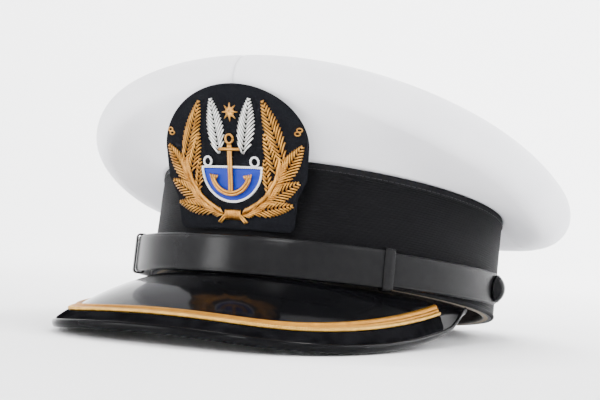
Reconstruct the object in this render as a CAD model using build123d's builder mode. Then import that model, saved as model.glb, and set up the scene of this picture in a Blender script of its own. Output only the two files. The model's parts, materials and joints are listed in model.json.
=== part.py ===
"""Military peaked cap: white crown on a wire hoop, ribbed band, patent visor, chin strap and badge.

The cap is drawn in its own frame: Z = 0 is the plane of the band's bottom edge, -Y is the front and
+X the wearer's left. HAT tilts that frame back, so that the finished cap stands on a flat surface on
its visor corners and the rear of its band, as a cap does when it is put down.
"""
import os
from math import asin, atan2, copysign, cos, degrees, dist, exp, hypot, radians, sin, sqrt

from build123d import *

os.makedirs("parts", exist_ok=True)

# ---- driving dimensions, mm and degrees ---------------------------------------------------------
rest_tilt = 8.6             # how far the front of the band is lifted when the cap stands by itself
hat_place_y = 17.7          # centre of the band's bottom edge in the finished part's frame
hat_place_z = 15.95

band_half_width = 89.4
band_half_length = 106.2
band_end_radius = 76.0      # radius of the oval at the front and the rear
band_height = 52.9
ribbon_thick = 1.0
foundation_thick = 1.8
hem_height = 2.2
hem_relief = 0.3            # how far the hem is raised over the visor, in front of the rear seat
seat_front_y = -8.0         # where the level seat on the rear of the hem starts
binding_height = 3.8
sweatband_thick = 1.2
sweatband_height = 38.0
sweatband_gap = 2.0         # room behind the sweatband for the button fixings

crown_half_width = 114.4    # centre line of the rolled rim, in plan
crown_front = 110.0
crown_rear = 122.0
crown_shift_y = -5.9
crown_fullness = 0.045      # how much squarer than an ellipse the front half is
rim_level = 57.8            # height of the rim's centre line at the sides
rim_rise = 13.5             # how much higher the front is than the rear, halved
rim_saddle = 15.8           # how much the front and the rear rise above the sides
rear_kick = 3.0             # extra rise at the very rear
rim_radius = 12.4
cloth_thick = 1.0
side_seam = 127.0           # angle of the two rear seams from the front
seam_gap = 0.25             # half the gap between two sewn panels, in degrees

visor_half_width = 85.5
horn_flare = 3.5            # how much wider the visor is at its horns
horn_run = 0.07             # share of the reach over which the horns rise to the band
visor_reach = 148.1         # from the horns to the front of the rim
visor_root_y = -20.9
visor_root_z = -1.0
visor_drop = 33.1
visor_corner_drop = 5.7     # how much lower the corners hang than the middle of the rim
visor_square = 3.29         # exponent of the rim's superellipse
visor_bulge = 0.052         # height of the visor's arch over its span, at each section
visor_skin = 1.2            # thickness of the patent leather, and of the lining under it
bead_width = 2.2
cord_outer = 8.9            # distances from the rim to the gold cord and the gold braid
braid_outer = 10.7
braid_inner = 15.2
trim_reach = 86.0           # where the trims end, as an angle from the front

strap_gap = 5.0             # from the band to the line between the two straps
strap_z = 12.4              # height of the strap's pivot, the centre of the buttons
strap_dip = 3.05            # how far the strap slopes down to the front
strap_thick = 1.6
outer_width = 18.0
inner_width = 16.0
strap_overlap = 50.8        # each strap's free end, as an angle from the front
strap_tail = 9.0            # each strap's length behind its button
ply_gap = 0.1               # from the strap line to each strap
left_keeper_turn = 50.0
right_keeper_turn = 50.0
keeper_length = 5.4
keeper_wall = 0.9
keeper_clear = 0.35

button_radius = 7.0
button_dome = 4.6
shank_radius = 1.6
running_gap = 0.1           # round the shanks

HAT = Plane(
    origin=(0, hat_place_y, hat_place_z),
    x_dir=(1, 0, 0),
    z_dir=(0, sin(radians(rest_tilt)), cos(radians(rest_tilt))),
)
HAT_UP = Axis(HAT.origin, HAT.z_dir)


def hat_point(x, y, z):
    """A point given in the cap's frame."""
    return HAT.from_local_coords(Vector(x, y, z))


def hat_direction(x, y, z):
    """A direction given in the cap's frame."""
    return hat_point(x, y, z) - hat_point(0, 0, 0)


def upright_plane(foot, toward):
    """Upright plane through foot, whose x axis runs level towards the other point, y axis up."""
    run_x, run_y = toward[0] - foot[0], toward[1] - foot[1]
    return Plane(hat_point(foot[0], foot[1], 0), hat_direction(run_x, run_y, 0),
                 hat_direction(run_y, -run_x, 0))


# looks along +X: x is the cap's +Y, y is up
SIDE = Plane(hat_point(0, 0, 0), hat_direction(0, 1, 0), (1, 0, 0))
# looks along +Y: x is +X, y is up
FRONT = Plane(hat_point(0, 0, 0), (1, 0, 0), hat_direction(0, -1, 0))


# ---- the band's oval: four tangent arcs ---------------------------------------------------------
end_centre = band_half_length - band_end_radius
side_radius = ((band_half_width**2 + end_centre**2 - band_end_radius**2)
               / (2 * (band_half_width - band_end_radius)))
side_centre = side_radius - band_half_width
end_turn = degrees(atan2(side_centre, end_centre))


def oval_point(turn, grow=0.0):
    """Point of the oval, grown outward, where the outward normal is turned from the front."""
    across, along = sin(radians(turn)), -cos(radians(turn))
    if abs(along) > cos(radians(end_turn)):
        centre = (0, copysign(end_centre, along))
        radius = band_end_radius + grow
    else:
        centre = (-copysign(side_centre, across), 0)
        radius = side_radius + grow
    return (centre[0] + radius * across, centre[1] + radius * along)


def oval_toward(target, focus_y, grow=0.0):
    """Point of the grown oval on the line from (0, focus_y) to the target."""
    wanted = atan2(abs(target[0]), focus_y - target[1])
    low, high = 0.0, 180.0
    for _ in range(40):
        turn = (low + high) / 2
        x, y = oval_point(turn, grow)
        if atan2(x, focus_y - y) < wanted:
            low = turn
        else:
            high = turn
    x, y = oval_point(low, grow)
    return (copysign(x, target[0]), y)


def oval_face(grow):
    """The grown oval as a flat face."""
    corners = [-end_turn, end_turn, 180 - end_turn, 180 + end_turn, 360 - end_turn]
    with BuildSketch(Plane.XY) as oval:
        with BuildLine():
            for start, stop in zip(corners, corners[1:]):
                ThreePointArc(*(oval_point(turn, grow) for turn in (start, (start + stop) / 2, stop)))
        make_face()
    return oval.sketch_local


def ring(bottom, height, outer, inner):
    """Ring between two grown ovals, standing on the level given."""
    with BuildPart() as body:
        with BuildSketch(HAT.offset(bottom)):
            add(oval_face(outer))
        extrude(amount=height)
        with BuildSketch(HAT.offset(bottom)):
            add(oval_face(inner))
        extrude(amount=height, mode=Mode.SUBTRACT)
    return body.part


with BuildPart() as shank_bore:
    with BuildSketch(SIDE):
        with Locations((0, strap_z)):
            Circle(shank_radius + running_gap)
    extrude(amount=band_half_width + 20, both=True)


# ---- band and sweatband -------------------------------------------------------------------------
foundation_out = -ribbon_thick
foundation_in = foundation_out - foundation_thick
sweatband_out = foundation_in - sweatband_gap
sweatband_in = sweatband_out - sweatband_thick

with BuildPart() as band_foundation:
    add(ring(0.3, band_height - 0.7, foundation_out, foundation_in))
    add(shank_bore.part, mode=Mode.SUBTRACT)

with BuildPart() as band_ribbon:
    add(ring(hem_height, band_height - hem_height - binding_height, 0, foundation_out))
    add(shank_bore.part, mode=Mode.SUBTRACT)

with BuildPart() as band_top_binding:
    add(ring(band_height - binding_height, binding_height, 0.3, foundation_out))
    fillet(band_top_binding.edges().group_by(HAT_UP)[-1], 0.4)

with BuildPart() as band_bottom_hem:
    add(ring(0, hem_height, 0.4, foundation_out))
    fillet(band_bottom_hem.edges().group_by(HAT_UP)[-1], 0.3)
    with BuildSketch(HAT):
        with Locations((0, seat_front_y - 60)):
            Rectangle(240, 120)
    extrude(amount=hem_relief, mode=Mode.SUBTRACT)

with BuildPart() as sweatband:
    add(ring(0.2, sweatband_height, sweatband_out, sweatband_in))

with BuildPart() as sweatband_reed:
    add(ring(0.2, 1.8, foundation_in, sweatband_out))


# ---- crown --------------------------------------------------------------------------------------
def rim_core(turn):
    """Centre of the rolled rim at an angle from the front: x, y and height."""
    along = -cos(radians(turn))
    reach, full = crown_rear, 1.0
    if along < 0:
        reach, full = crown_front, 1 + crown_fullness * sin(radians(2 * turn)) ** 2
    height = rim_level - rim_rise * along + rim_saddle * along**2 + rear_kick * max(along, 0) ** 3
    return (crown_half_width * sin(radians(turn)) * full, crown_shift_y + reach * along * full, height)


def crown_wall(start, stop, count):
    """Cloth wall from the band's top, round the rim to its top, between two angles."""
    with BuildPart() as wall:
        for step in range(count + 1):
            turn = start + (stop - start) * step / count
            core = rim_core(turn)
            foot = oval_toward(core, -3.0)
            out, up = dist(foot, core[:2]), core[2] - band_height
            span = hypot(out, up)
            lean = atan2(up, out) - asin(rim_radius / span)
            length = sqrt(span**2 - rim_radius**2)
            normal = (sin(lean), -cos(lean))

            def at(angle, radius):
                """Point of the rim's circle, the angle counted up from level."""
                return (out + radius * cos(radians(angle)), core[2] + radius * sin(radians(angle)))

            meet = degrees(lean) - 90
            inside = rim_radius - cloth_thick
            outer_foot = (0, band_height + 0.1)
            inner_foot = (-cloth_thick * normal[0], band_height + 0.1 - cloth_thick * normal[1])
            with BuildSketch(upright_plane(foot, core)):
                with BuildLine():
                    Line(outer_foot, at(meet, rim_radius))
                    ThreePointArc(at(meet, rim_radius), at(meet / 2 + 45, rim_radius), at(90, rim_radius))
                    Line(at(90, rim_radius), at(90, inside))
                    ThreePointArc(at(90, inside), at(meet / 2 + 45, inside), at(meet, inside))
                    Line(at(meet, inside), inner_foot)
                    Line(inner_foot, outer_foot)
                make_face()
        loft()
    return wall.part


with BuildPart() as crown_front_left:
    add(crown_wall(seam_gap, side_seam - seam_gap, 9))

with BuildPart() as crown_front_right:
    add(crown_wall(-side_seam + seam_gap, -seam_gap, 9))

with BuildPart() as crown_rear_panel:
    add(crown_wall(side_seam + seam_gap, 360 - side_seam - seam_gap, 8))


def top_line(below):
    """Side profile of the crown's top, below it by the amount given."""
    points = []
    for step in range(10):
        along = -cos(radians(20 * step))
        reach = crown_front if along < 0 else crown_rear
        height = rim_level - rim_rise * along + rim_saddle * along**2 + rear_kick * max(along, 0) ** 3
        points.append((crown_shift_y + reach * along, height + rim_radius - below))
    return points


with BuildPart() as crown_top_panel:
    with BuildSketch(SIDE):
        with BuildLine():
            upper = Spline(*top_line(0))
            lower = Spline(*top_line(cloth_thick))
            Line(upper @ 0, lower @ 0)
            Line(upper @ 1, lower @ 1)
        make_face()
    extrude(amount=crown_half_width + 5, both=True)
    with BuildSketch(HAT):
        with BuildLine():
            inset = 1 - 0.6 / crown_half_width
            outline = [rim_core(turn) for turn in range(0, 360, 15)]
            Spline(*((x * inset, crown_shift_y + (y - crown_shift_y) * inset) for x, y, z in outline),
                   periodic=True)
        make_face()
    extrude(amount=150, mode=Mode.INTERSECT)

hoop_radius = 1.25
roll_radius = rim_radius - cloth_thick - 0.8
hoop_gap = 2.0              # half the opening of the padding at the rear, in degrees

with BuildPart() as rim_hoop_wire:
    for step in range(25):
        turn = 180.3 + 359.4 * step / 24
        core = rim_core(turn)
        with BuildSketch(upright_plane((0, crown_shift_y), core)):
            with Locations((dist((0, crown_shift_y), core[:2]), core[2])):
                Circle(hoop_radius)
    loft()

with BuildPart() as rim_padding_roll:
    for step in range(25):
        turn = 180 + hoop_gap * 3 + (360 - hoop_gap * 6) * step / 24
        core = rim_core(turn)
        with BuildSketch(upright_plane((0, crown_shift_y), core)):
            with Locations((dist((0, crown_shift_y), core[:2]), core[2])):
                Circle(roll_radius)
                with Locations((-roll_radius / 2, 0)):
                    Rectangle(roll_radius + 2 * hoop_radius + 0.4, 2 * hoop_radius + 0.4, mode=Mode.SUBTRACT)
    loft()

rear_core = rim_core(180)
with BuildPart() as rim_hoop_ferrule:
    with BuildSketch(Plane(hat_point(-8, rear_core[1] - 0.2, rear_core[2]), hat_direction(0, 1, 0), (1, 0, 0))):
        Circle(2.6)
        Circle(hoop_radius + 0.5, mode=Mode.SUBTRACT)
    extrude(amount=16)

with BuildPart() as crown_front_stay:
    front_face = -(band_half_length + foundation_in) + 0.8
    with BuildSketch(SIDE):
        with BuildLine():
            bend = [(front_face, 38.8), (front_face, 51.5), (front_face - 8.5, 68)]
            Polyline(*bend, *[(y + 0.9, z) for y, z in reversed(bend)], close=True)
        make_face()
    extrude(amount=7, both=True)

lining_base, lining_top = band_height + 0.2, 66.0
with BuildPart() as crown_lining:
    with BuildSketch(HAT.offset(lining_base)):
        add(oval_face(foundation_in - 1.3))
    with BuildSketch(HAT.offset(lining_top)):
        add(oval_face(-26))
    loft()
    with BuildSketch(HAT.offset(lining_base - 0.01)):
        add(oval_face(foundation_in - 2.1))
    with BuildSketch(HAT.offset(lining_top - 0.8)):
        add(oval_face(-26.6))
    loft(mode=Mode.SUBTRACT)

with BuildPart() as sweat_shield:
    with BuildSketch(HAT.offset(lining_top - 1.4)):
        Ellipse(40, 52)
    extrude(amount=0.5)


# ---- visor --------------------------------------------------------------------------------------
def visor_rim(turn):
    """Point of the visor's rim; turn runs from -90 at one horn to 90 at the other."""
    across = copysign(abs(sin(radians(turn))) ** (2 / visor_square), turn)
    reach = abs(cos(radians(turn))) ** (2 / visor_square)
    x = across * (visor_half_width + horn_flare * (1 - reach) ** 4)
    y = visor_root_y - visor_reach * reach
    fade = 1 - exp(-((reach / horn_run) ** 2))
    z = visor_root_z - visor_drop * reach**0.49 * fade - visor_corner_drop * across**2 * reach
    return (x, y, z)


visor_turns = (0, 14, 26, 36, 45, 54, 63, 71, 78, 83, 86, 88, 89.2, 89.75)
visor_stations = [-turn for turn in reversed(visor_turns[1:])] + list(visor_turns)


def visor_strip(inner, outer, low, high, reach=90.0):
    """Layer of the visor between two distances from the rim and two heights above its surface.

    An inner distance of None means that the layer runs in to the band.
    """
    with BuildPart() as strip:
        for turn in visor_stations:
            if abs(turn) > reach:
                continue
            rim = visor_rim(turn)
            foot = oval_toward(rim, -10.0, foundation_in)
            out, fall = dist(foot, rim[:2]), rim[2] - visor_root_z
            span = hypot(out, fall)
            arch = visor_bulge * span
            arch_radius = (span**2 / 4 + arch**2) / (2 * arch)
            ahead, behind = visor_rim(turn + 0.1), visor_rim(turn - 0.1)
            along = Vector(*ahead) - Vector(*behind)
            section = Vector(rim[0] - foot[0], rim[1] - foot[1], fall)
            square = along.cross(section).length / (along.length * section.length)

            def at(distance, lift):
                """Point of this section at a distance from the rim, lifted off the surface."""
                share = 0.0 if distance is None else max(1 - distance / (span * square), 0.04)
                chord = span * (share - 0.5)
                rise = sqrt(arch_radius**2 - chord**2) - arch_radius + arch + lift
                return (out * share - fall / span * rise, visor_root_z + fall * share + out / span * rise)

            middle = (inner + outer) / 2 if inner is not None else span * square / 2
            with BuildSketch(upright_plane(foot, rim)):
                with BuildLine():
                    ThreePointArc(at(inner, high), at(middle, high), at(outer, high))
                    Line(at(outer, high), at(outer, low))
                    ThreePointArc(at(outer, low), at(middle, low), at(inner, low))
                    Line(at(inner, low), at(inner, high))
                make_face()
        loft()
    return strip.part


with BuildPart() as visor_shell:
    add(visor_strip(None, bead_width, -visor_skin, 0))

with BuildPart() as visor_lining:
    add(visor_strip(None, bead_width, -2 * visor_skin, -visor_skin - ply_gap))

with BuildPart() as visor_edge_bead:
    add(visor_strip(bead_width, 0, -2 * visor_skin - 0.6, 0.8))

with BuildPart() as visor_velvet_border:
    add(visor_strip(cord_outer, bead_width, 0, 0.8, trim_reach))

with BuildPart() as visor_gold_cord:
    add(visor_strip(braid_outer, cord_outer, 0, 1.8, trim_reach))

with BuildPart() as visor_gold_braid:
    add(visor_strip(braid_inner, braid_outer, 0, 1.4, trim_reach))


# ---- chin strap ---------------------------------------------------------------------------------
STRAP = Plane(
    hat_point(0, 0, strap_z), (1, 0, 0),
    hat_direction(0, -sin(radians(strap_dip)), cos(radians(strap_dip))),
)
STRAP_SIDE = Plane(STRAP.origin, STRAP.y_dir, (1, 0, 0))

# The strap line is a chain of arcs (turn where the arc ends, radius). On the wearer's left it keeps
# its distance to the band. On the right it bows out: front arc, tight corner, long arc to the button.
right_front_turn, right_corner_turn, right_front_radius = 30.0, 72.0, 88.0
button_x = band_half_width + strap_gap


def solve_right_arcs():
    """Radii of the corner and of the rear arc, so that the line closes on the button."""
    s1, c1 = sin(radians(right_front_turn)), cos(radians(right_front_turn))
    s2, c2 = sin(radians(right_corner_turn)), cos(radians(right_corner_turn))
    need_x = button_x - right_front_radius * s1
    need_y = band_half_length + strap_gap - right_front_radius * (1 - c1)
    scale = (s2 - s1) * c2 - (c1 - c2) * (1 - s2)
    corner = (need_x * c2 - need_y * (1 - s2)) / scale
    rear = (need_y * (s2 - s1) - need_x * (c1 - c2)) / scale
    return corner, rear


corner_radius, rear_radius = solve_right_arcs()
right_arcs = [(right_front_turn, right_front_radius), (right_corner_turn, corner_radius), (90.0, rear_radius)]
left_arcs = [(end_turn, band_end_radius + strap_gap), (90.0, side_radius + strap_gap)]


def strap_centres(arcs):
    """Centre, radius and end turn of each arc of a strap line, the x axis towards its button."""
    x, y, start, found = 0.0, -(band_half_length + strap_gap), 0.0, []
    for stop, radius in arcs:
        centre = (x - radius * sin(radians(start)), y + radius * cos(radians(start)))
        found.append((centre, radius, start, stop))
        x, y = (centre[0] + radius * sin(radians(stop)), centre[1] - radius * cos(radians(stop)))
        start = stop
    return found


def strap_point(arcs, turn, offset):
    """Point of a strap line, moved outward by the offset."""
    for centre, radius, start, stop in strap_centres(arcs):
        if start <= turn <= stop:
            reach = radius + offset
            return (centre[0] + reach * sin(radians(turn)), centre[1] - reach * cos(radians(turn)))


def strap_pieces(side, arcs, first, last, offset):
    """Edges of a strap line between two turns; side is 1 for the wearer's left, -1 for the right."""
    for centre, radius, start, stop in strap_centres(arcs):
        low, high = max(start, first), min(stop, last)
        if high > low:
            points = [strap_point(arcs, turn, offset) for turn in (low, (low + high) / 2, high)]
            ThreePointArc(*((side * x, y) for x, y in points))


def strap_band(near_arcs, far_arcs, side, inner, outer, width):
    """One strap: from its button on one side, across the front, to its free end on the other."""
    with BuildPart() as body:
        with BuildSketch(STRAP):
            with BuildLine():
                for offset in (inner, outer):
                    strap_pieces(side, near_arcs, 0, 90, offset)
                    strap_pieces(-side, far_arcs, 0, strap_overlap, offset)
                tail = [(side * (button_x + offset), y) for offset in (inner, outer) for y in (0, strap_tail)]
                Polyline(tail[0], tail[1], tail[3], tail[2])
                tip = [strap_point(far_arcs, strap_overlap, offset) for offset in (inner, outer)]
                Line(*((-side * x, y) for x, y in tip))
            make_face()
        extrude(amount=width / 2, both=True)
        fillet(body.edges().filter_by(Axis.X).group_by(Axis.Y)[-1], width / 2 - 0.2)
        with BuildSketch(STRAP_SIDE):
            Circle(shank_radius + running_gap)
        extrude(amount=side * (button_x + 20), mode=Mode.SUBTRACT)
    return body.part


with BuildPart() as chin_strap_outer:
    add(strap_band(right_arcs, left_arcs, -1, ply_gap, ply_gap + strap_thick, outer_width))

with BuildPart() as chin_strap_inner:
    add(strap_band(left_arcs, right_arcs, 1, -ply_gap - strap_thick, -ply_gap, inner_width))



def strap_keeper(side, arcs, keeper_turn):
    """Loop round both straps, free to slide along them."""
    x, y = strap_point(arcs, keeper_turn, 0)
    outward = (side * sin(radians(keeper_turn)), -cos(radians(keeper_turn)))
    foot = STRAP.from_local_coords(Vector(side * x, y, 0))
    out = STRAP.from_local_coords(Vector(side * x + outward[0], y + outward[1], 0)) - foot
    hole_depth = 2 * (ply_gap + strap_thick + keeper_clear)
    hole_height = outer_width + 2 * keeper_clear
    with BuildPart() as keeper:
        with BuildSketch(Plane(foot, out, out.cross(STRAP.z_dir))):
            RectangleRounded(hole_depth + 2 * keeper_wall, hole_height + 2 * keeper_wall, keeper_wall)
            Rectangle(hole_depth, hole_height, mode=Mode.SUBTRACT)
        extrude(amount=keeper_length / 2, both=True)
    return keeper.part


with BuildPart() as strap_keeper_left:
    add(strap_keeper(1, left_arcs, left_keeper_turn))

with BuildPart() as strap_keeper_right:
    add(strap_keeper(-1, right_arcs, right_keeper_turn))


# ---- side buttons and their fixings -------------------------------------------------------------
foundation_face = band_half_width + foundation_in
washer_thick = 0.5
washer_face = foundation_face - 0.15 - washer_thick
pin_radius = 0.45
pin_length = 9.0
pin_x = washer_face - 0.1 - pin_radius
shank_end = foundation_face - 1.8
ACROSS = Plane(STRAP.origin, (1, 0, 0), hat_direction(0, -1, 0))


def side_button(side, seat):
    """Domed button with its shank, drilled for the split pin."""
    rim = button_radius - 0.5
    cap = button_dome - 1.5
    ball = (rim**2 + cap**2) / (2 * cap)
    half = asin(rim / ball) / 2
    crest = seat + button_dome
    with BuildPart() as button:
        with BuildSketch(ACROSS):
            with BuildLine():
                outline = [(shank_end, 0), (shank_end, shank_radius), (seat, shank_radius),
                           (seat, button_radius), (seat + 1.1, button_radius), (seat + 1.5, rim)]
                Polyline(*((side * x, y) for x, y in outline))
                ThreePointArc((side * (seat + 1.5), rim),
                              (side * (crest - ball + ball * cos(half)), ball * sin(half)), (side * crest, 0))
                Line((side * crest, 0), (side * shank_end, 0))
            make_face()
        revolve(axis=Axis(STRAP.origin, (1, 0, 0)))
        with BuildSketch(Plane(hat_point(side * pin_x, 0, strap_z), (1, 0, 0), HAT.z_dir)):
            Circle(pin_radius + 0.05)
        extrude(amount=5, both=True, mode=Mode.SUBTRACT)
    return button.part


def split_pin(side):
    """Pin through the shank that holds the button on from inside the band."""
    with BuildPart() as pin:
        with BuildSketch(Plane(hat_point(side * pin_x, 0, strap_z), (1, 0, 0), HAT.z_dir)):
            Circle(pin_radius)
        extrude(amount=pin_length / 2, both=True)
    return pin.part


def shank_ring(side, near, far, radius):
    """Flat ring round a shank between two distances from the middle of the cap."""
    with BuildPart() as body:
        with BuildSketch(Plane(hat_point(side * near, 0, strap_z), hat_direction(0, 1, 0), (side, 0, 0))):
            Circle(radius)
            Circle(shank_radius + running_gap, mode=Mode.SUBTRACT)
        extrude(amount=far - near)
    return body.part


left_seat = button_x - ply_gap + 0.2
right_seat = button_x + ply_gap + strap_thick + 0.2

with BuildPart() as button_left:
    add(side_button(1, left_seat))

with BuildPart() as button_right:
    add(side_button(-1, right_seat))

with BuildPart() as split_pin_left:
    add(split_pin(1))

with BuildPart() as split_pin_right:
    add(split_pin(-1))

with BuildPart() as button_washers:
    for side in (1, -1):
        add(shank_ring(side, washer_face, washer_face + washer_thick, 4.0))

collar_start = band_half_width + 0.2
with BuildPart() as button_collars:
    add(shank_ring(1, collar_start, button_x - ply_gap - strap_thick - 0.3, 4.5))
    add(shank_ring(-1, collar_start, button_x + ply_gap - 0.3, 4.5))


# ---- badge --------------------------------------------------------------------------------------
badge_lean = 19.5           # how far the stiff patch leans out from the band to the crown's rim
badge_stand = 0.5           # from the band's face to the foot of the patch
badge_roundness = 185.0     # radius of the patch, seen from above
badge_bottom = 18.5
badge_shoulder = 56.0       # where the patch is widest
badge_top = 82.0
badge_half_width = 37.5
badge_tab_half_width = 30.0
felt_thick = 1.1
wire_thick = 1.1            # height of the bullion embroidery on the felt
field_half_width = 15.0
field_top = 45.1
field_depth = 14.1
field_cord = 1.1            # width of the white cord round the field
star_height = 69.5

BADGE_FOOT = hat_point(0, -(band_half_length + badge_stand), badge_bottom)
BADGE_UP = hat_direction(0, -sin(radians(badge_lean)), cos(radians(badge_lean)))


def badge_layer(low, high):
    """Curved sheet that leans with the patch, between two heights above the back of the patch."""
    half_angle = degrees(asin(44 / badge_roundness))
    with BuildPart() as sheet:
        with BuildSketch(Plane(BADGE_FOOT - BADGE_UP * 12, (1, 0, 0), BADGE_UP)):
            with BuildLine():
                ends = []
                for lift in (low, high):
                    reach = badge_roundness + lift
                    turns = [radians(angle) for angle in (-half_angle, 0, half_angle)]
                    arc = [(reach * sin(turn), badge_roundness - reach * cos(turn)) for turn in turns]
                    ThreePointArc(*arc)
                    ends.append((arc[0], arc[2]))
                Line(ends[0][0], ends[1][0])
                Line(ends[0][1], ends[1][1])
            make_face()
        extrude(amount=95)
    return sheet.part


def badge_piece(outline, low, high):
    """Cut a badge layer to an outline drawn from the front."""
    with BuildPart() as piece:
        add(badge_layer(low, high))
        with BuildSketch(FRONT):
            add(outline)
        extrude(amount=170, mode=Mode.INTERSECT)
    return piece.part


def leaf(foot, tip, width):
    """Pointed leaf between two points, as a flat face."""
    length = dist(foot, tip)
    along = ((tip[0] - foot[0]) / length, (tip[1] - foot[1]) / length)
    middle = ((foot[0] + tip[0]) / 2, (foot[1] + tip[1]) / 2)
    sides = [(middle[0] - half * along[1], middle[1] + half * along[0]) for half in (width / 2, -width / 2)]
    with BuildSketch(Plane.XY) as face:
        with BuildLine():
            ThreePointArc(foot, sides[0], tip)
            ThreePointArc(tip, sides[1], foot)
        make_face()
    return face.sketch_local


def half_oval(grow):
    """The blue field's outline, flat on top, grown outward."""
    with BuildSketch(Plane.XY) as face:
        with BuildLine():
            half, top = field_half_width + grow, field_top + grow
            EllipticalCenterArc((0, top), half, field_depth + 2 * grow, 180, arc_size=180)
            Line((-half, top), (half, top))
        make_face()
    return face.sketch_local


with BuildSketch(Plane.XY) as patch_outline:
    with BuildLine():
        Polyline((badge_half_width, badge_shoulder), (badge_half_width - 1.2, 42), (badge_tab_half_width + 1.5, 33),
                 (badge_tab_half_width, badge_bottom), (-badge_tab_half_width, badge_bottom),
                 (-badge_tab_half_width - 1.5, 33), (1.2 - badge_half_width, 42),
                 (-badge_half_width, badge_shoulder))
        EllipticalCenterArc((0, badge_shoulder), badge_half_width, badge_top - badge_shoulder, 0, arc_size=180)
    make_face()
    fillet(patch_outline.vertices().group_by(Axis.Y)[0], 4)

# foot, tip and width of each leaf on the wearer's left, from the top down
wreath_leaves = [
    ((26.0, 48.5), (16.4, 75.2), 8.4),
    ((22.5, 43.0), (17.0, 61.0), 6.2),
    ((22.0, 37.5), (35.6, 56.3), 8.4),
    ((18.6, 34.5), (16.9, 50.0), 5.2),
    ((15.5, 30.5), (33.8, 40.3), 7.8),
    ((9.5, 26.2), (30.5, 30.1), 6.8),
]
wreath_stem = [(5.0, 25.0), (13.0, 28.3), (19.8, 34.5), (24.0, 42.0), (25.6, 50.0)]


def wreath_outline(side):
    """Laurel branch: leaves along a curved stem."""
    with BuildSketch(Plane.XY) as branch:
        for foot, tip, width in wreath_leaves:
            add(leaf((side * foot[0], foot[1]), (side * tip[0], tip[1]), width))
        with BuildLine():
            line = [(side * x, y) for x, y in wreath_stem]
            Spline(*((x - side * 1.6, y + 1.0) for x, y in line))
            Spline(*((x + side * 1.6, y - 1.0) for x, y in line))
            for x, y in (line[0], line[-1]):
                Line((x - side * 1.6, y + 1.0), (x + side * 1.6, y - 1.0))
        make_face()
        add(half_oval(field_cord + 0.1), mode=Mode.SUBTRACT)
        with Locations((0, 25)):
            Rectangle(9, 12, mode=Mode.SUBTRACT)
    return branch.sketch_local


with BuildPart() as badge_backing:
    add(badge_piece(patch_outline.sketch_local, 0, felt_thick))

with BuildPart() as badge_wreath_left:
    add(badge_piece(wreath_outline(1), felt_thick, felt_thick + wire_thick))

with BuildPart() as badge_wreath_right:
    add(badge_piece(wreath_outline(-1), felt_thick, felt_thick + wire_thick))

with BuildSketch(Plane.XY) as tie_outline:
    with Locations((0, 24.8)):
        RectangleRounded(8.4, 5, 1)

with BuildPart() as badge_wreath_tie:
    add(badge_piece(tie_outline.sketch_local, felt_thick, felt_thick + 1.3))

with BuildPart() as badge_field:
    add(badge_piece(half_oval(0), felt_thick, felt_thick + 0.4))

with BuildSketch(Plane.XY) as field_ring:
    add(half_oval(field_cord))
    add(half_oval(0.05), mode=Mode.SUBTRACT)

with BuildPart() as badge_field_cord:
    add(badge_piece(field_ring.sketch_local, felt_thick, felt_thick + 1.2))

anchor_foot, anchor_stock, anchor_eye = 33.6, 53.0, 57.6
with BuildSketch(Plane.XY) as anchor_outline:
    with Locations((0, (anchor_foot + anchor_stock + 3) / 2)):
        Rectangle(2.2, anchor_stock + 3 - anchor_foot)
    with Locations((0, anchor_stock)):
        Rectangle(10.5, 1.8)
    with Locations((0, anchor_eye)):
        Circle(2.4)
        Circle(1.2, mode=Mode.SUBTRACT)
    with BuildLine():
        ThreePointArc((-9.6, 41.2), (0, 32.6), (9.6, 41.2))
        ThreePointArc((-9.6, 41.2), (0, 35.0), (9.6, 41.2))
    make_face()

with BuildPart() as badge_anchor:
    add(badge_piece(anchor_outline.sketch_local, felt_thick + 1.25, felt_thick + 2.4))

with BuildSketch(Plane.XY) as frond_outline:
    for side in (1, -1):
        add(leaf((side * 6.2, 51.0), (side * 10.2, 76.0), 8.6))

with BuildPart() as badge_fronds:
    add(badge_piece(frond_outline.sketch_local, felt_thick, felt_thick + wire_thick))

with BuildSketch(Plane.XY) as star_outline:
    star_points = 8
    with BuildLine():
        spikes = []
        for count in range(2 * star_points):
            reach = 4.2 if count % 2 == 0 else 1.7
            turn = radians(90 + 180 * count / star_points)
            spikes.append((reach * cos(turn), star_height + reach * sin(turn)))
        Polyline(*spikes, close=True)
    make_face()

with BuildPart() as badge_star:
    add(badge_piece(star_outline.sketch_local, felt_thick, felt_thick + wire_thick))


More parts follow.
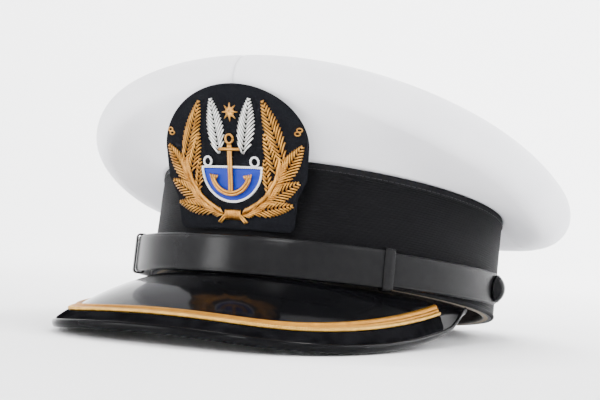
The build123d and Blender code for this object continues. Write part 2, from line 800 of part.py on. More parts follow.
# ---- write the pieces ---------------------------------------------------------------------------
pieces = {
    "band_foundation": band_foundation,
    "band_ribbon": band_ribbon,
    "band_top_binding": band_top_binding,
    "band_bottom_hem": band_bottom_hem,
    "sweatband": sweatband,
    "sweatband_reed": sweatband_reed,
    "crown_top_panel": crown_top_panel,
    "crown_front_left": crown_front_left,
    "crown_front_right": crown_front_right,
    "crown_rear_panel": crown_rear_panel,
    "rim_hoop_wire": rim_hoop_wire,
    "rim_hoop_ferrule": rim_hoop_ferrule,
    "rim_padding_roll": rim_padding_roll,
    "crown_front_stay": crown_front_stay,
    "crown_lining": crown_lining,
    "sweat_shield": sweat_shield,
    "visor_shell": visor_shell,
    "visor_lining": visor_lining,
    "visor_edge_bead": visor_edge_bead,
    "visor_velvet_border": visor_velvet_border,
    "visor_gold_cord": visor_gold_cord,
    "visor_gold_braid": visor_gold_braid,
    "chin_strap_outer": chin_strap_outer,
    "chin_strap_inner": chin_strap_inner,
    "strap_keeper_left": strap_keeper_left,
    "strap_keeper_right": strap_keeper_right,
    "button_left": button_left,
    "button_right": button_right,
    "split_pin_left": split_pin_left,
    "split_pin_right": split_pin_right,
    "button_washers": button_washers,
    "button_collars": button_collars,
    "badge_backing": badge_backing,
    "badge_wreath_left": badge_wreath_left,
    "badge_wreath_right": badge_wreath_right,
    "badge_wreath_tie": badge_wreath_tie,
    "badge_field": badge_field,
    "badge_field_cord": badge_field_cord,
    "badge_anchor": badge_anchor,
    "badge_fronds": badge_fronds,
    "badge_star": badge_star,
}
for label, piece in pieces.items():
    piece.part.label = label
    export_step(piece.part, f"parts/{label}.step")
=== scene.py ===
"""Looks of a military peaked cap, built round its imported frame.

Shapes are worked out in millimetres in the cap's own frame: z = 0 is the plane of the band's bottom
edge, -Y the front and +X the wearer's left. PLACE turns them into the row frame, in metres.
"""

import json
import math

import bpy
import numpy as np
from mathutils import Matrix, Vector


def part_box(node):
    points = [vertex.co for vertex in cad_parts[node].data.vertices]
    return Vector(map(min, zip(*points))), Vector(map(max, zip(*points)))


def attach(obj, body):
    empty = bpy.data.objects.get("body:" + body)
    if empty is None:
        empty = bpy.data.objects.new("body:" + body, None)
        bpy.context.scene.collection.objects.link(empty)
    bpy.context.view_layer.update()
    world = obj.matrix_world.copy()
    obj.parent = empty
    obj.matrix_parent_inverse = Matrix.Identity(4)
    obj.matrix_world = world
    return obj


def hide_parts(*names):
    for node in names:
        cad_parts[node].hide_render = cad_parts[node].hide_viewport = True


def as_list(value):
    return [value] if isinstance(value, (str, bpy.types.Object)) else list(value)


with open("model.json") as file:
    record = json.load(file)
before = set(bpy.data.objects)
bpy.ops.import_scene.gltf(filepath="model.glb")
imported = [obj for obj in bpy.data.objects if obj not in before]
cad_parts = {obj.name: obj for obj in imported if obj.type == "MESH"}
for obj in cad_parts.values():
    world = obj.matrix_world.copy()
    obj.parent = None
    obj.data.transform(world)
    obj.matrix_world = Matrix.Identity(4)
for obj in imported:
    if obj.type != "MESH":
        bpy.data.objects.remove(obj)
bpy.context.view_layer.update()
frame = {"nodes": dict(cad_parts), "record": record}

MM = 0.001
TAU = 2 * math.pi

# ---- the cap's own frame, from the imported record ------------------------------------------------
opening = next(m for m in frame["record"]["mounts"] if m["name"] == "head_opening")
cap_origin = np.array(opening["pos_m"])
cap_up = -np.array(opening["axis"])
cap_back = np.cross(cap_up, (1.0, 0.0, 0.0))
PLACE = np.column_stack(((1.0, 0.0, 0.0), cap_back, cap_up))


def place(points):
    """Points in the cap's frame (mm) as points in the row frame (m)."""
    return np.asarray(points, float) * MM @ PLACE.T + cap_origin


def sin_of(turn):
    """Sine of an angle in degrees."""
    return math.sin(math.radians(turn))


def cos_of(turn):
    """Cosine of an angle in degrees."""
    return math.cos(math.radians(turn))


def run_along(points):
    """Distance along a line from its first point to each of its points."""
    return np.concatenate(([0], np.cumsum(np.linalg.norm(np.diff(points, axis=0), axis=1))))


# ---- driving dimensions, mm and degrees, as in the CAD model -------------------------------------
band_half_width = (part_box("band_ribbon")[1][0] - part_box("band_ribbon")[0][0]) / 2 / MM
band_half_length = 106.2
band_end_radius = 76.0
band_mean_radius = 98.0
band_height = 52.9
hem_height = 2.2
binding_height = 3.8

crown_half_width = 114.4
crown_front = 110.0
crown_rear = 122.0
crown_shift_y = -5.9
crown_fullness = 0.045
rim_radius = 12.4
side_seam = 127.0
crown_focus_y = -3.0
rim_middle = 57.8
rim_slope = 13.5
rim_saddle = 15.8
rear_kick = 3.0
hollow_turn = 40
hollow_spread = 14
hollow_depth = 1.3

visor_half_width = 85.5
horn_flare = 3.5
visor_reach = 148.1
visor_root_y = -20.9
visor_root_z = -1.0
visor_drop = 33.1
visor_corner_drop = 5.7
visor_square = 3.29
visor_bulge = 0.052
horn_run = 0.07
rim_reach = 89.85
trim_reach = 86.0
velvet_inner = 9.2
cord_line = 9.8
braid_outer = 10.4
braid_inner = 15.2
visor_focus_y = -10.0
visor_tuck = 2.8
bead_width = 2.2

strap_gap = 5.0
strap_z = 12.4
strap_dip = 3.05
strap_thick = 1.6
ply_gap = 0.1
right_front_turn = 30.0
right_corner_turn = 72.0
right_front_radius = 88.0
outer_width = 18.0
inner_width = 16.0
strap_overlap = 50.8
strap_tail = 9.0
left_keeper_turn = 50.0
right_keeper_turn = 50.0
keeper_length = 5.4


# ---- the band's oval ----------------------------------------------------------------------------
end_centre = band_half_length - band_end_radius
side_radius = ((band_half_width**2 + end_centre**2 - band_end_radius**2)
               / (2 * (band_half_width - band_end_radius)))
side_centre = side_radius - band_half_width
end_turn = math.degrees(math.atan2(side_centre, end_centre))


def oval_point(turn, grow=0.0):
    """Point of the grown oval where the outward normal is turned from the front."""
    across, along = sin_of(turn), -cos_of(turn)
    if abs(along) > cos_of(end_turn):
        centre = (0.0, math.copysign(end_centre, along))
        radius = band_end_radius + grow
    else:
        centre = (-math.copysign(side_centre, across), 0.0)
        radius = side_radius + grow
    return (centre[0] + radius * across, centre[1] + radius * along)


def oval_toward(target, focus_y, grow=0.0):
    """Point of the grown oval on the line from (0, focus_y) to the target."""
    wanted = math.atan2(abs(target[0]), focus_y - target[1])
    low, high = 0.0, 180.0
    for _ in range(40):
        turn = (low + high) / 2
        x, y = oval_point(turn, grow)
        if math.atan2(x, focus_y - y) < wanted:
            low = turn
        else:
            high = turn
    x, y = oval_point(low, grow)
    return (math.copysign(x, target[0]), y)


# ---- mesh helpers -------------------------------------------------------------------------------
made = {}                   # the pieces by name


def add_mesh(name, points, faces, finish, body="cap", uvs=None):
    """Mesh object from points in the cap's frame; uvs are one (u, v) in metres for each point.

    A piece with the name of a CAD node stands for that node.
    """
    mesh = bpy.data.meshes.new(name)
    mesh.from_pydata(place(points).tolist(), [], [tuple(int(i) for i in f) for f in faces])
    if uvs is not None:
        layer = mesh.uv_layers.new(name="weave")
        index = np.empty(len(mesh.loops), dtype=np.int32)
        mesh.loops.foreach_get("vertex_index", index)
        layer.data.foreach_set("uv", np.asarray(uvs, np.float32)[index].ravel())
    mesh.polygons.foreach_set("use_smooth", [True] * len(mesh.polygons))
    mesh.update()
    piece = bpy.data.objects.new(name, mesh)
    bpy.context.scene.collection.objects.link(piece)
    mesh.materials.append(finish[0])
    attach(piece, body)
    if name in frame["nodes"]:
        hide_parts(name)
    made[name] = piece
    return piece


def grid_faces(rows, columns, close_rows=False, close_columns=False):
    """Quads between the points of a grid, counted row by row."""
    faces = []
    for r in range(rows if close_rows else rows - 1):
        for c in range(columns if close_columns else columns - 1):
            r2, c2 = (r + 1) % rows, (c + 1) % columns
            faces.append((r * columns + c, r * columns + c2, r2 * columns + c2, r2 * columns + c))
    return faces


def grid_uvs(points):
    """Distance along the rows and the columns of a grid of points, in metres."""
    points = np.asarray(points, float)
    along = np.linalg.norm(np.diff(points, axis=0), axis=2).mean(axis=1)
    across = np.linalg.norm(np.diff(points, axis=1), axis=2).mean(axis=0)
    u = np.concatenate(([0], np.cumsum(along))) * MM
    v = np.concatenate(([0], np.cumsum(across))) * MM
    uu, vv = np.meshgrid(u, v, indexing="ij")
    return np.stack((uu, vv), axis=2).reshape(-1, 2)


def skin(name, rows, finish, body="cap", thick=0.0, close_rows=False, close_columns=False, flip=False):
    """Grid of points as one smooth surface, with a thickness laid inward if one is given."""
    rows = np.asarray(rows, float)
    count, width = rows.shape[:2]
    faces = grid_faces(count, width, close_rows, close_columns)
    if flip:
        faces = [f[::-1] for f in faces]
    piece = add_mesh(name, rows.reshape(-1, 3), faces, finish, body, uvs=grid_uvs(rows))
    if thick:
        solid = piece.modifiers.new("thickness", "SOLIDIFY")
        solid.thickness = thick * MM
        solid.offset = -1.0
    return piece


def frames_along(path, up):
    """Tangent, side and up directions at each point of a path."""
    path = np.asarray(path, float)
    tangent = np.gradient(path, axis=0)
    tangent /= np.linalg.norm(tangent, axis=1)[:, None]
    up = np.asarray(up, float)
    if up.ndim == 1:
        up = np.tile(up, (len(path), 1))
    side = np.cross(tangent, up)
    side /= np.linalg.norm(side, axis=1)[:, None]
    return tangent, side, np.cross(side, tangent)


def tube_points(path, radius, sides, up):
    """Rings of points round a path; radius is one number or one for each point."""
    path = np.asarray(path, float)
    _, side, top = frames_along(path, up)
    radius = np.broadcast_to(radius, (len(path),))
    turns = np.arange(sides) * TAU / sides
    ring = (side[:, None, :] * np.cos(turns)[None, :, None]
            + top[:, None, :] * np.sin(turns)[None, :, None])
    return path[:, None, :] + radius[:, None, None] * ring


class Bundle:
    """Many small closed forms gathered into one mesh."""

    def __init__(self):
        self.points, self.faces, self.count = [], [], 0

    def add(self, points, faces):
        """Adds points with their own faces."""
        self.points.append(np.asarray(points, float).reshape(-1, 3))
        self.faces.extend(tuple(i + self.count for i in face) for face in faces)
        self.count += len(self.points[-1])

    def tube(self, path, radius, sides=6, up=(0, 0, 1), closed=False):
        """Tube round a path, with flat ends unless it is closed."""
        rings = tube_points(path, radius, sides, up)
        count = len(rings)
        faces = grid_faces(count, sides, close_rows=closed, close_columns=True)
        faces = [face[::-1] for face in faces]
        if not closed:
            faces.append(tuple(range(sides)))
            faces.append(tuple((count - 1) * sides + i for i in reversed(range(sides))))
        self.add(rings, faces)

    def make(self, name, finish):
        """The gathered forms as one object."""
        add_mesh(name, np.concatenate(self.points), self.faces, finish)


# ---- materials ----------------------------------------------------------------------------------
class Shader:
    """A principled material with a few procedural helpers.

    The values are more inputs of its shader, with _ for each space in a name.
    """

    def __init__(self, name, color, rough, **values):
        self.material = bpy.data.materials.new(name)
        self.material.use_nodes = True
        self.nodes = self.material.node_tree.nodes
        self.links = self.material.node_tree.links
        self.bsdf = self.nodes["Principled BSDF"]
        self.bsdf.inputs["Base Color"].default_value = (*color, 1.0)
        self.bsdf.inputs["Roughness"].default_value = rough
        for key, value in values.items():
            self.bsdf.inputs[key.replace("_", " ")].default_value = value
        self.normal = None

    def node(self, kind, **values):
        """A node with some of its inputs or settings given."""
        node = self.nodes.new(kind)
        for key, value in values.items():
            if key in node.inputs:
                node.inputs[key].default_value = value
            else:
                setattr(node, key, value)
        return node

    def link(self, source, target):
        """Link between two sockets."""
        self.links.new(source, target)

    def where(self, scale=(1, 1, 1), turn=(0, 0, 0), uv=False):
        """Texture coordinates in metres times scale: along the surface if uv, else in space."""
        mapping = self.node("ShaderNodeMapping")
        mapping.inputs["Scale"].default_value = scale
        mapping.inputs["Rotation"].default_value = tuple(math.radians(a) for a in turn)
        if uv:
            source = self.node("ShaderNodeUVMap", uv_map="weave").outputs["UV"]
        else:
            source = self.node("ShaderNodeTexCoord").outputs["Object"]
        self.link(source, mapping.inputs["Vector"])
        return mapping.outputs["Vector"]

    def noise(self, scale, detail=3.0, where=None, rough=0.5):
        """Noise value."""
        node = self.node("ShaderNodeTexNoise", Scale=scale, Detail=detail, Roughness=rough)
        self.link(where or self.where(), node.inputs["Vector"])
        return node.outputs["Fac"]

    def wave(self, pitch, where, direction="X", distortion=0.0):
        """Sine wave with a pitch in metres."""
        node = self.node("ShaderNodeTexWave", bands_direction=direction)
        node.inputs["Scale"].default_value = 1 / (pitch * 3.183)
        node.inputs["Distortion"].default_value = distortion
        node.inputs["Detail"].default_value = 1.0
        node.inputs["Detail Scale"].default_value = 2.0
        self.link(where, node.inputs["Vector"])
        return node.outputs["Fac"]

    def math(self, operation, first, second):
        """Math of two sockets or numbers."""
        node = self.node("ShaderNodeMath", operation=operation)
        for socket, value in zip(node.inputs, (first, second)):
            if isinstance(value, (int, float)):
                socket.default_value = value
            else:
                self.link(value, socket)
        return node.outputs[0]

    def range(self, value, low, high, start=0.0, stop=1.0):
        """Value mapped from start..stop to low..high."""
        node = self.node("ShaderNodeMapRange")
        node.inputs["From Min"].default_value = start
        node.inputs["From Max"].default_value = stop
        node.inputs["To Min"].default_value = low
        node.inputs["To Max"].default_value = high
        self.link(value, node.inputs["Value"])
        return node.outputs["Result"]

    def tint(self, value, first, second, low=0.0, high=1.0):
        """Base colour mixed from two colours by a value."""
        ramp = self.node("ShaderNodeValToRGB")
        ramp.color_ramp.elements[0].position = low
        ramp.color_ramp.elements[1].position = high
        ramp.color_ramp.elements[0].color = (*first, 1)
        ramp.color_ramp.elements[1].color = (*second, 1)
        self.link(value, ramp.inputs["Fac"])
        self.link(ramp.outputs["Color"], self.bsdf.inputs["Base Color"])

    def roughen(self, value, low, high):
        """Roughness between two values."""
        self.link(self.range(value, low, high), self.bsdf.inputs["Roughness"])

    def bump(self, height, depth, strength=1.0):
        """Bump of a depth in metres, laid over any bump before it."""
        node = self.node("ShaderNodeBump", Strength=strength, Distance=depth)
        self.link(height, node.inputs["Height"])
        if self.normal is not None:
            self.link(self.normal, node.inputs["Normal"])
        self.normal = node.outputs["Normal"]
        self.link(self.normal, self.bsdf.inputs["Normal"])


def white_cloth():
    """Taut white twill with a fine diagonal weave and soft unevenness."""
    m = Shader("white_cloth", (0.86, 0.86, 0.885), 0.86, Specular_IOR_Level=0.25)
    flat = m.where(uv=True)
    twill = m.where(turn=(0, 0, 32), uv=True)
    weave = m.math("MULTIPLY", m.wave(0.00055, twill, "X"), m.wave(0.0009, flat, "Y"))
    cloud = m.noise(38.0, 4.0)
    m.tint(m.math("ADD", m.math("MULTIPLY", weave, 0.35), m.math("MULTIPLY", cloud, 0.65)),
           (0.80, 0.80, 0.84), (0.90, 0.90, 0.92), 0.2, 0.8)
    m.bump(weave, 0.00007, 0.55)
    m.bump(cloud, 0.0006, 0.25)
    return m.material, "white_cloth"


def ribbed_ribbon():
    """Black mohair ribbon: the ribs are in the mesh, the fibre in the bump."""
    m = Shader("ribbed_ribbon", (0.0035, 0.0035, 0.004), 0.6, Specular_IOR_Level=0.05)
    flat = m.where(uv=True)
    thread = m.wave(0.00045, flat, "X", 1.2)
    fibre = m.noise(900.0, 3.0, m.where((1, 1, 3)))
    m.tint(m.math("MULTIPLY", thread, fibre), (0.002, 0.002, 0.0025), (0.008, 0.008, 0.009), 0.1, 0.7)
    m.roughen(fibre, 0.5, 0.8)
    m.bump(thread, 0.00008, 0.5)
    m.bump(fibre, 0.0001, 0.3)
    return m.material, "ribbed_ribbon"


def woven_tape():
    """Plain black woven tape."""
    color = (0.006, 0.006, 0.007)
    m = Shader("band_tape", color, 0.7, Specular_IOR_Level=0.08)
    flat = m.where(uv=True)
    weave = m.math("MULTIPLY", m.wave(0.0005, flat, "X"), m.wave(0.0005, flat, "Y"))
    m.tint(weave, tuple(c * 0.6 for c in color), tuple(c * 1.7 for c in color))
    m.bump(weave, 0.00008, 0.6)
    m.bump(m.noise(700.0), 0.0001, 0.25)
    return m.material, "band_binding"


def patent(name, dust=0.5):
    """Black patent leather: mirror gloss, with a very slight waviness and a little dust."""
    m = Shader(name, (0.003, 0.003, 0.0035), 0.10, IOR=1.13)
    speck = m.noise(1500.0, 1.0)
    m.roughen(m.range(speck, 0.0, 1.0, 0.72, 0.80), 0.10, 0.10 + 0.2 * dust)
    m.tint(m.range(speck, 0.0, 1.0, 0.76, 0.82), (0.003, 0.003, 0.0035), (0.012, 0.012, 0.012))
    m.bump(m.noise(55.0, 2.0), 0.0005, 0.08)
    m.bump(m.noise(900.0, 2.0), 0.00002, 0.2)
    return m.material, name


def strap_leather(name, rough):
    """Coated strap leather with a fine grain; shinier where it is smooth."""
    m = Shader(name, (0.006, 0.006, 0.0065), rough, IOR=1.2)
    cell = m.node("ShaderNodeTexVoronoi", Scale=1600.0)
    m.link(m.where(), cell.inputs["Vector"])
    grain = cell.outputs["Distance"]
    m.tint(m.noise(220.0, 2.0), (0.0045, 0.0045, 0.005), (0.007, 0.007, 0.0075), 0.3, 0.7)
    m.roughen(m.noise(900.0, 2.0), rough - 0.03, rough + 0.05)
    m.bump(grain, 0.00006, 0.35)
    m.bump(m.noise(45.0, 1.0), 0.0004, 0.08)
    return m.material, name


def velvet():
    """Black velvet: dark pile with a soft rim sheen."""
    m = Shader("black_velvet", (0.004, 0.004, 0.0045), 1.0, Specular_IOR_Level=0.0)
    pile = m.noise(1800.0, 2.0)
    m.tint(m.noise(160.0, 3.0), (0.0025, 0.0025, 0.003), (0.007, 0.007, 0.008), 0.35, 0.65)
    m.bump(pile, 0.0003, 0.8)
    return m.material, "black_velvet"


def gilt(name, dark, bright, rough):
    """Gilt wire: metal with fine turns of wire across it and tarnish in the hollows."""
    m = Shader(name, bright, rough, Metallic=1.0)
    spot = m.noise(260.0, 4.0)
    fine = m.noise(2600.0, 2.0)
    mottle = m.math("ADD", m.math("MULTIPLY", spot, 0.6), m.math("MULTIPLY", fine, 0.4))
    m.tint(mottle, dark, bright, 0.3, 0.68)
    m.roughen(fine, rough - 0.08, rough + 0.16)
    m.bump(fine, 0.00022, 0.5)
    return m.material, name


def felt():
    """Blue-black felt with short tangled fibres."""
    m = Shader("badge_felt", (0.004, 0.0045, 0.006), 1.0, Specular_IOR_Level=0.08)
    fibre = m.noise(1400.0, 4.0, rough=0.7)
    m.tint(fibre, (0.002, 0.0022, 0.003), (0.008, 0.0085, 0.011), 0.3, 0.7)
    m.bump(fibre, 0.0004, 0.7)
    return m.material, "badge_felt"


def satin(name, color, pitch=0.0004, slot_name=None):
    """Satin with fine parallel threads, returned with its own name unless another is given."""
    m = Shader(name, color, 0.5, Specular_IOR_Level=0.25)
    thread = m.wave(pitch, m.where(), "Z", 0.6)
    m.tint(thread, tuple(c * 0.6 for c in color), tuple(min(1.0, c * 1.25) for c in color))
    m.bump(thread, 0.00012, 0.6)
    m.bump(m.noise(120.0, 3.0), 0.0004, 0.3)
    return m.material, slot_name or name


def metal(name, color, rough=0.3):
    """Plain drawn metal with fine scratches."""
    m = Shader(name, color, rough, Metallic=1.0)
    scratch = m.noise(400.0, 3.0, m.where((1, 8, 1)))
    m.tint(scratch, tuple(c * 0.75 for c in color), color, 0.3, 0.7)
    m.roughen(scratch, rough - 0.08, rough + 0.15)
    m.bump(scratch, 0.00005, 0.3)
    return m.material, name


def grained_leather(name, color, rough=0.5):
    """Leather with a pebbled grain and creases."""
    m = Shader(name, color, rough)
    cell = m.node("ShaderNodeTexVoronoi", Scale=700.0, feature="SMOOTH_F1")
    m.link(m.where(), cell.inputs["Vector"])
    blotch = m.noise(70.0, 4.0)
    m.tint(blotch, tuple(c * 0.7 for c in color), tuple(c * 1.3 for c in color), 0.3, 0.7)
    m.roughen(blotch, rough - 0.1, rough + 0.12)
    m.bump(cell.outputs["Distance"], 0.0003, 0.5)
    m.bump(blotch, 0.0006, 0.3)
    return m.material, name


def vinyl():
    """Clear vinyl with slight haze."""
    m = Shader("clear_vinyl", (0.92, 0.94, 0.94), 0.12, Alpha=0.25)
    m.roughen(m.noise(90.0, 3.0), 0.08, 0.22)
    m.bump(m.noise(60.0, 2.0), 0.0004, 0.2)
    return m.material, "clear_vinyl"


def fibre_board(name, color):
    """Matt pressed board or foam."""
    m = Shader(name, color, 0.85)
    m.tint(m.noise(300.0, 4.0), tuple(c * 0.8 for c in color), tuple(min(1.0, c * 1.15) for c in color))
    m.bump(m.noise(900.0, 3.0), 0.0002, 0.4)
    return m.material, name


WHITE = white_cloth()
RIBBON = ribbed_ribbon()
TAPE = woven_tape()
VISOR_PATENT = patent("visor_patent")
BEAD_PATENT = patent("visor_bead_patent", 0.8)
STRAP_COAT = strap_leather("strap_patent", 0.20)
STRAP_INNER = strap_leather("strap_leather", 0.30)
KEEPER = strap_leather("keeper_patent", 0.24)
VELVET = velvet()
GOLD_CORD = gilt("gold_cord", (0.38, 0.20, 0.035), (0.74, 0.44, 0.10), 0.36)
GOLD_BRAID = gilt("gold_braid", (0.27, 0.11, 0.012), (0.50, 0.23, 0.025), 0.46)
BULLION = gilt("gold_bullion", (0.24, 0.09, 0.015), (0.70, 0.36, 0.08), 0.34)
SILVER = gilt("silver_bullion", (0.52, 0.51, 0.50), (0.95, 0.94, 0.92), 0.36)
FELT = felt()
BLUE = satin("blue_satin", (0.006, 0.025, 0.30))
CORD_WHITE = satin("white_cord", (0.82, 0.82, 0.84), 0.0006)
LINING = satin("crown_lining_satin", (0.62, 0.62, 0.64), 0.0005)
LEATHER = grained_leather("sweatband_leather", (0.030, 0.024, 0.019))
UNDER = grained_leather("visor_lining_leather", (0.016, 0.018, 0.016), 0.45)
STEEL = metal("fixing_steel", (0.62, 0.62, 0.63))


# ---- camera, light and stage --------------------------------------------------------------------
def make_camera():
    """Camera at the photograph's viewing angle, placed in the cap's frame."""
    spot = np.array((270.0, -583.3, -58.8))
    right = np.array((0.8968, 0.4252, 0.1221))
    up = np.array((-0.0349, -0.2071, 0.9777))
    back = np.array((0.4410, -0.8811, -0.1709))
    axes = np.column_stack([PLACE @ v for v in (right, up, back)])
    camera = bpy.data.objects.new("camera", bpy.data.cameras.new("camera"))
    camera.data.lens = 71.37
    camera.data.sensor_width = 36.0
    camera.data.clip_start = 0.01
    camera.data.clip_end = 100.0
    matrix = Matrix(axes.tolist()).to_4x4()
    matrix.translation = Vector(place(spot[None])[0])
    camera.matrix_world = matrix
    bpy.context.scene.collection.objects.link(camera)
    bpy.context.scene.camera = camera


def area_light(name, spot, target, size, power, color=(1, 1, 1)):
    """Soft square light at a spot, aimed at a target."""
    light = bpy.data.lights.new(name, "AREA")
    light.shape = "RECTANGLE"
    light.size, light.size_y = size
    light.energy = power
    light.color = color
    lamp = bpy.data.objects.new(name, light)
    lamp.location = spot
    lamp.rotation_euler = (Vector(target) - Vector(spot)).to_track_quat("-Z", "Y").to_euler()
    bpy.context.scene.collection.objects.link(lamp)


def make_stage():
    """Pale floor that curves up into a backdrop on all sides, and soft studio light."""
    paper = Shader("paper", (0.93, 0.93, 0.935), 0.9)
    paper.tint(paper.noise(3.0, 2.0), (0.925, 0.925, 0.93), (0.935, 0.935, 0.94))
    rows = []
    reach, curve, height = 3.0, 1.2, 3.2
    profile = [(0.0, 0.0), (1.0, 0.0)]
    for step in range(13):
        turn = math.radians(90 * step / 12)
        profile.append((reach - 1 + curve * math.sin(turn), curve * (1 - math.cos(turn))))
    profile.append((reach - 1 + curve, height))
    around = 64
    for radius, z in profile:
        rows.append([(radius * math.cos(TAU * s / around), radius * math.sin(TAU * s / around), z)
                     for s in range(around)])
    rows = np.array(rows)
    mesh = bpy.data.meshes.new("floor")
    faces = grid_faces(len(rows), around, close_columns=True)
    mesh.from_pydata(rows.reshape(-1, 3).tolist(), [], faces)
    mesh.polygons.foreach_set("use_smooth", [True] * len(mesh.polygons))
    mesh.materials.append(paper.material)
    floor = bpy.data.objects.new("floor", mesh)
    bpy.context.scene.collection.objects.link(floor)
    world = bpy.data.worlds.new("studio")
    world.use_nodes = True
    world.node_tree.nodes["Background"].inputs["Color"].default_value = (0.96, 0.97, 1.0, 1)
    world.node_tree.nodes["Background"].inputs["Strength"].default_value = 0.06
    bpy.context.scene.world = world
    centre = (0.0, 0.0, 0.06)
    area_light("key", (0.25, -1.7, 1.1), centre, (0.5, 0.9), 34.0)
    area_light("side", (-1.7, -0.9, 0.8), centre, (0.8, 0.8), 5.0, (0.96, 0.95, 1.0))
    area_light("fill", (1.7, -0.9, 0.9), centre, (0.8, 0.8), 7.0)
    area_light("top", (0.1, 0.4, 2.0), centre, (1.6, 1.6), 34.0)
    area_light("strip", (-1.0, -1.4, 0.30), centre, (0.40, 0.5), 11.0)
    for count, angle in enumerate((30, 80, 130)):
        a = math.radians(angle)
        away = (3.0 * math.cos(a), 3.0 * math.sin(a), 0.8)
        area_light(f"wall_{count}", (1.2 * math.cos(a), 1.2 * math.sin(a), 2.4), away, (1.2, 0.8), 130.0)


make_camera()
make_stage()


# ---- crown --------------------------------------------------------------------------------------
def rim_height(along):
    """Height of the rim's centre line, from -1 at the front to 1 at the rear."""
    return rim_middle - rim_slope * along + rim_saddle * along**2 + rear_kick * max(along, 0.0) ** 3


def rim_core(turn):
    """Centre of the rolled rim at an angle from the front: x, y and height."""
    along = -cos_of(turn)
    reach, full = crown_rear, 1.0
    if along < 0:
        reach, full = crown_front, 1 + crown_fullness * sin_of(2 * turn) ** 2
    return (crown_half_width * sin_of(turn) * full, crown_shift_y + reach * along * full,
            rim_height(along))


def crown_profile(turn, lift=0.0):
    """Side wall of the crown at an angle: from the band's top, round the rim, to the top seam."""
    core = rim_core(turn)
    foot = oval_toward(core, crown_focus_y)
    run = (core[0] - foot[0], core[1] - foot[1])
    out, up = math.hypot(*run), core[2] - band_height
    run = (run[0] / out, run[1] / out)
    span = math.hypot(out, up)
    lean = math.atan2(up, out) - math.asin(rim_radius / span)
    length = math.sqrt(span**2 - rim_radius**2)
    radius = rim_radius + lift
    flat = []
    for share in np.linspace(0.0, 1.0, 15)[:-1]:
        beside_badge = math.exp(-(((abs(turn) - hollow_turn) / hollow_spread) ** 2))
        pull = -hollow_depth * math.sin(math.pi * share) * beside_badge
        reach = length * share
        flat.append((reach * math.cos(lean) + (lift + pull) * math.sin(lean),
                     reach * math.sin(lean) - (lift + pull) * math.cos(lean)))
    for share in np.linspace(0.0, 1.0, 26):
        angle = (lean - math.pi / 2) * (1 - share) + math.pi / 2 * share
        flat.append((out + radius * math.cos(angle), up + radius * math.sin(angle)))
    return [(foot[0] + run[0] * u, foot[1] + run[1] * u, band_height + 0.1 + v) for u, v in flat]


def soft_shift(point, amount):
    """Slow unevenness of taut cloth."""
    x, y, z = point
    slow = math.sin(x / 23 + 1.3) * math.sin(y / 31 + z / 19)
    return amount * (slow + 0.6 * math.sin(x / 11 - y / 14 + 0.7))


def crown_panel(name, start, stop):
    """One side panel of the crown, turned in at its two seams."""
    steps = max(24, round(abs(stop - start) * 1.3))
    rows = []
    for turn in np.linspace(start, stop, steps):
        edge = min(abs(turn - start), abs(turn - stop))
        sunk = -0.7 * math.exp(-((edge / 0.45) ** 2))
        profile = [np.array(p) for p in crown_profile(turn, sunk)]
        rows.append([p + soft_shift(p, 0.12) * np.array((p[0], p[1], 0)) / 120 for p in profile])
    skin(name, rows, WHITE, thick=0.9, flip=True)


def crown_top():
    """Top panel: stretched over the hoop, a little slack in the middle."""
    rows = []
    for share in [0.0] + list(np.linspace(0.04, 0.93, 26)) + [0.96, 0.985, 1.0]:
        ring = []
        for step in range(240):
            core = rim_core(step * 1.5)
            x = core[0] * share
            y = crown_shift_y + (core[1] - crown_shift_y) * share
            along = (y - crown_shift_y) / (crown_front if y < crown_shift_y else crown_rear)
            height = rim_height(along) + rim_radius
            seam = -0.8 * math.exp(-(((1 - share) / 0.008) ** 2))
            slack = -0.8 * (1 - share**2)
            ring.append((x, y, height + 0.05 + seam + slack + soft_shift((x, y, 0), 0.12) * (1 - share)))
        rows.append(ring)
    skin("crown_top_panel", rows, WHITE, thick=0.9, close_columns=True, flip=True)


crown_panel("crown_front_left", 0.0, side_seam)
crown_panel("crown_front_right", -side_seam, 0.0)
crown_panel("crown_rear_panel", side_seam, 360 - side_seam)
crown_top()


# ---- band ---------------------------------------------------------------------------------------
def oval_rings(profile, steps=256):
    """Rings of points round the band: profile gives (grow, height) pairs."""
    rows = []
    for grow, height in profile:
        rows.append([(*oval_point(360.0 * s / steps - 180, grow), height) for s in range(steps)])
    return rows


def band_ribbon():
    """Ribbed ribbon: fine rounded ribs running round the band."""
    pitch, deep = 1.12, 0.16
    low, high = hem_height - 0.3, band_height - binding_height + 0.3
    ribs = round((high - low) / pitch)
    profile = []
    for rib in range(ribs):
        for share in (0.0, 0.2, 0.4, 0.6, 0.8):
            height = low + (high - low) * (rib + share) / ribs
            profile.append((-deep + deep * math.sin(math.pi * share), height))
    profile.append((-deep, high))
    skin("band_ribbon", oval_rings(profile), RIBBON, thick=0.7, close_columns=True)


def band_binding():
    """Plain strip along the band's top, folded over, with a row of stitches."""
    base, top = band_height - binding_height, band_height
    profile = [(-0.3, base), (0.15, base + 0.15), (0.3, base + 0.5), (0.22, base + 0.9), (0.32, base + 1.4),
               (0.34, top - 1.2), (0.3, top - 0.5), (0.1, top - 0.1), (-0.3, top), (-0.9, top)]
    skin("band_top_binding", oval_rings(profile), TAPE, thick=0.5, close_columns=True)
    stitches("band_top_binding", base + 0.9, 0.3, 2.6)


def band_hem():
    """Rolled bottom edge of the band."""
    profile = []
    for angle in np.linspace(100, -100, 13):
        a = math.radians(angle)
        profile.append((-0.75 + 1.15 * math.cos(a), 1.15 + 1.12 * math.sin(a)))
    skin("band_bottom_hem", oval_rings(profile), TAPE, thick=0.3, close_columns=True, flip=True)


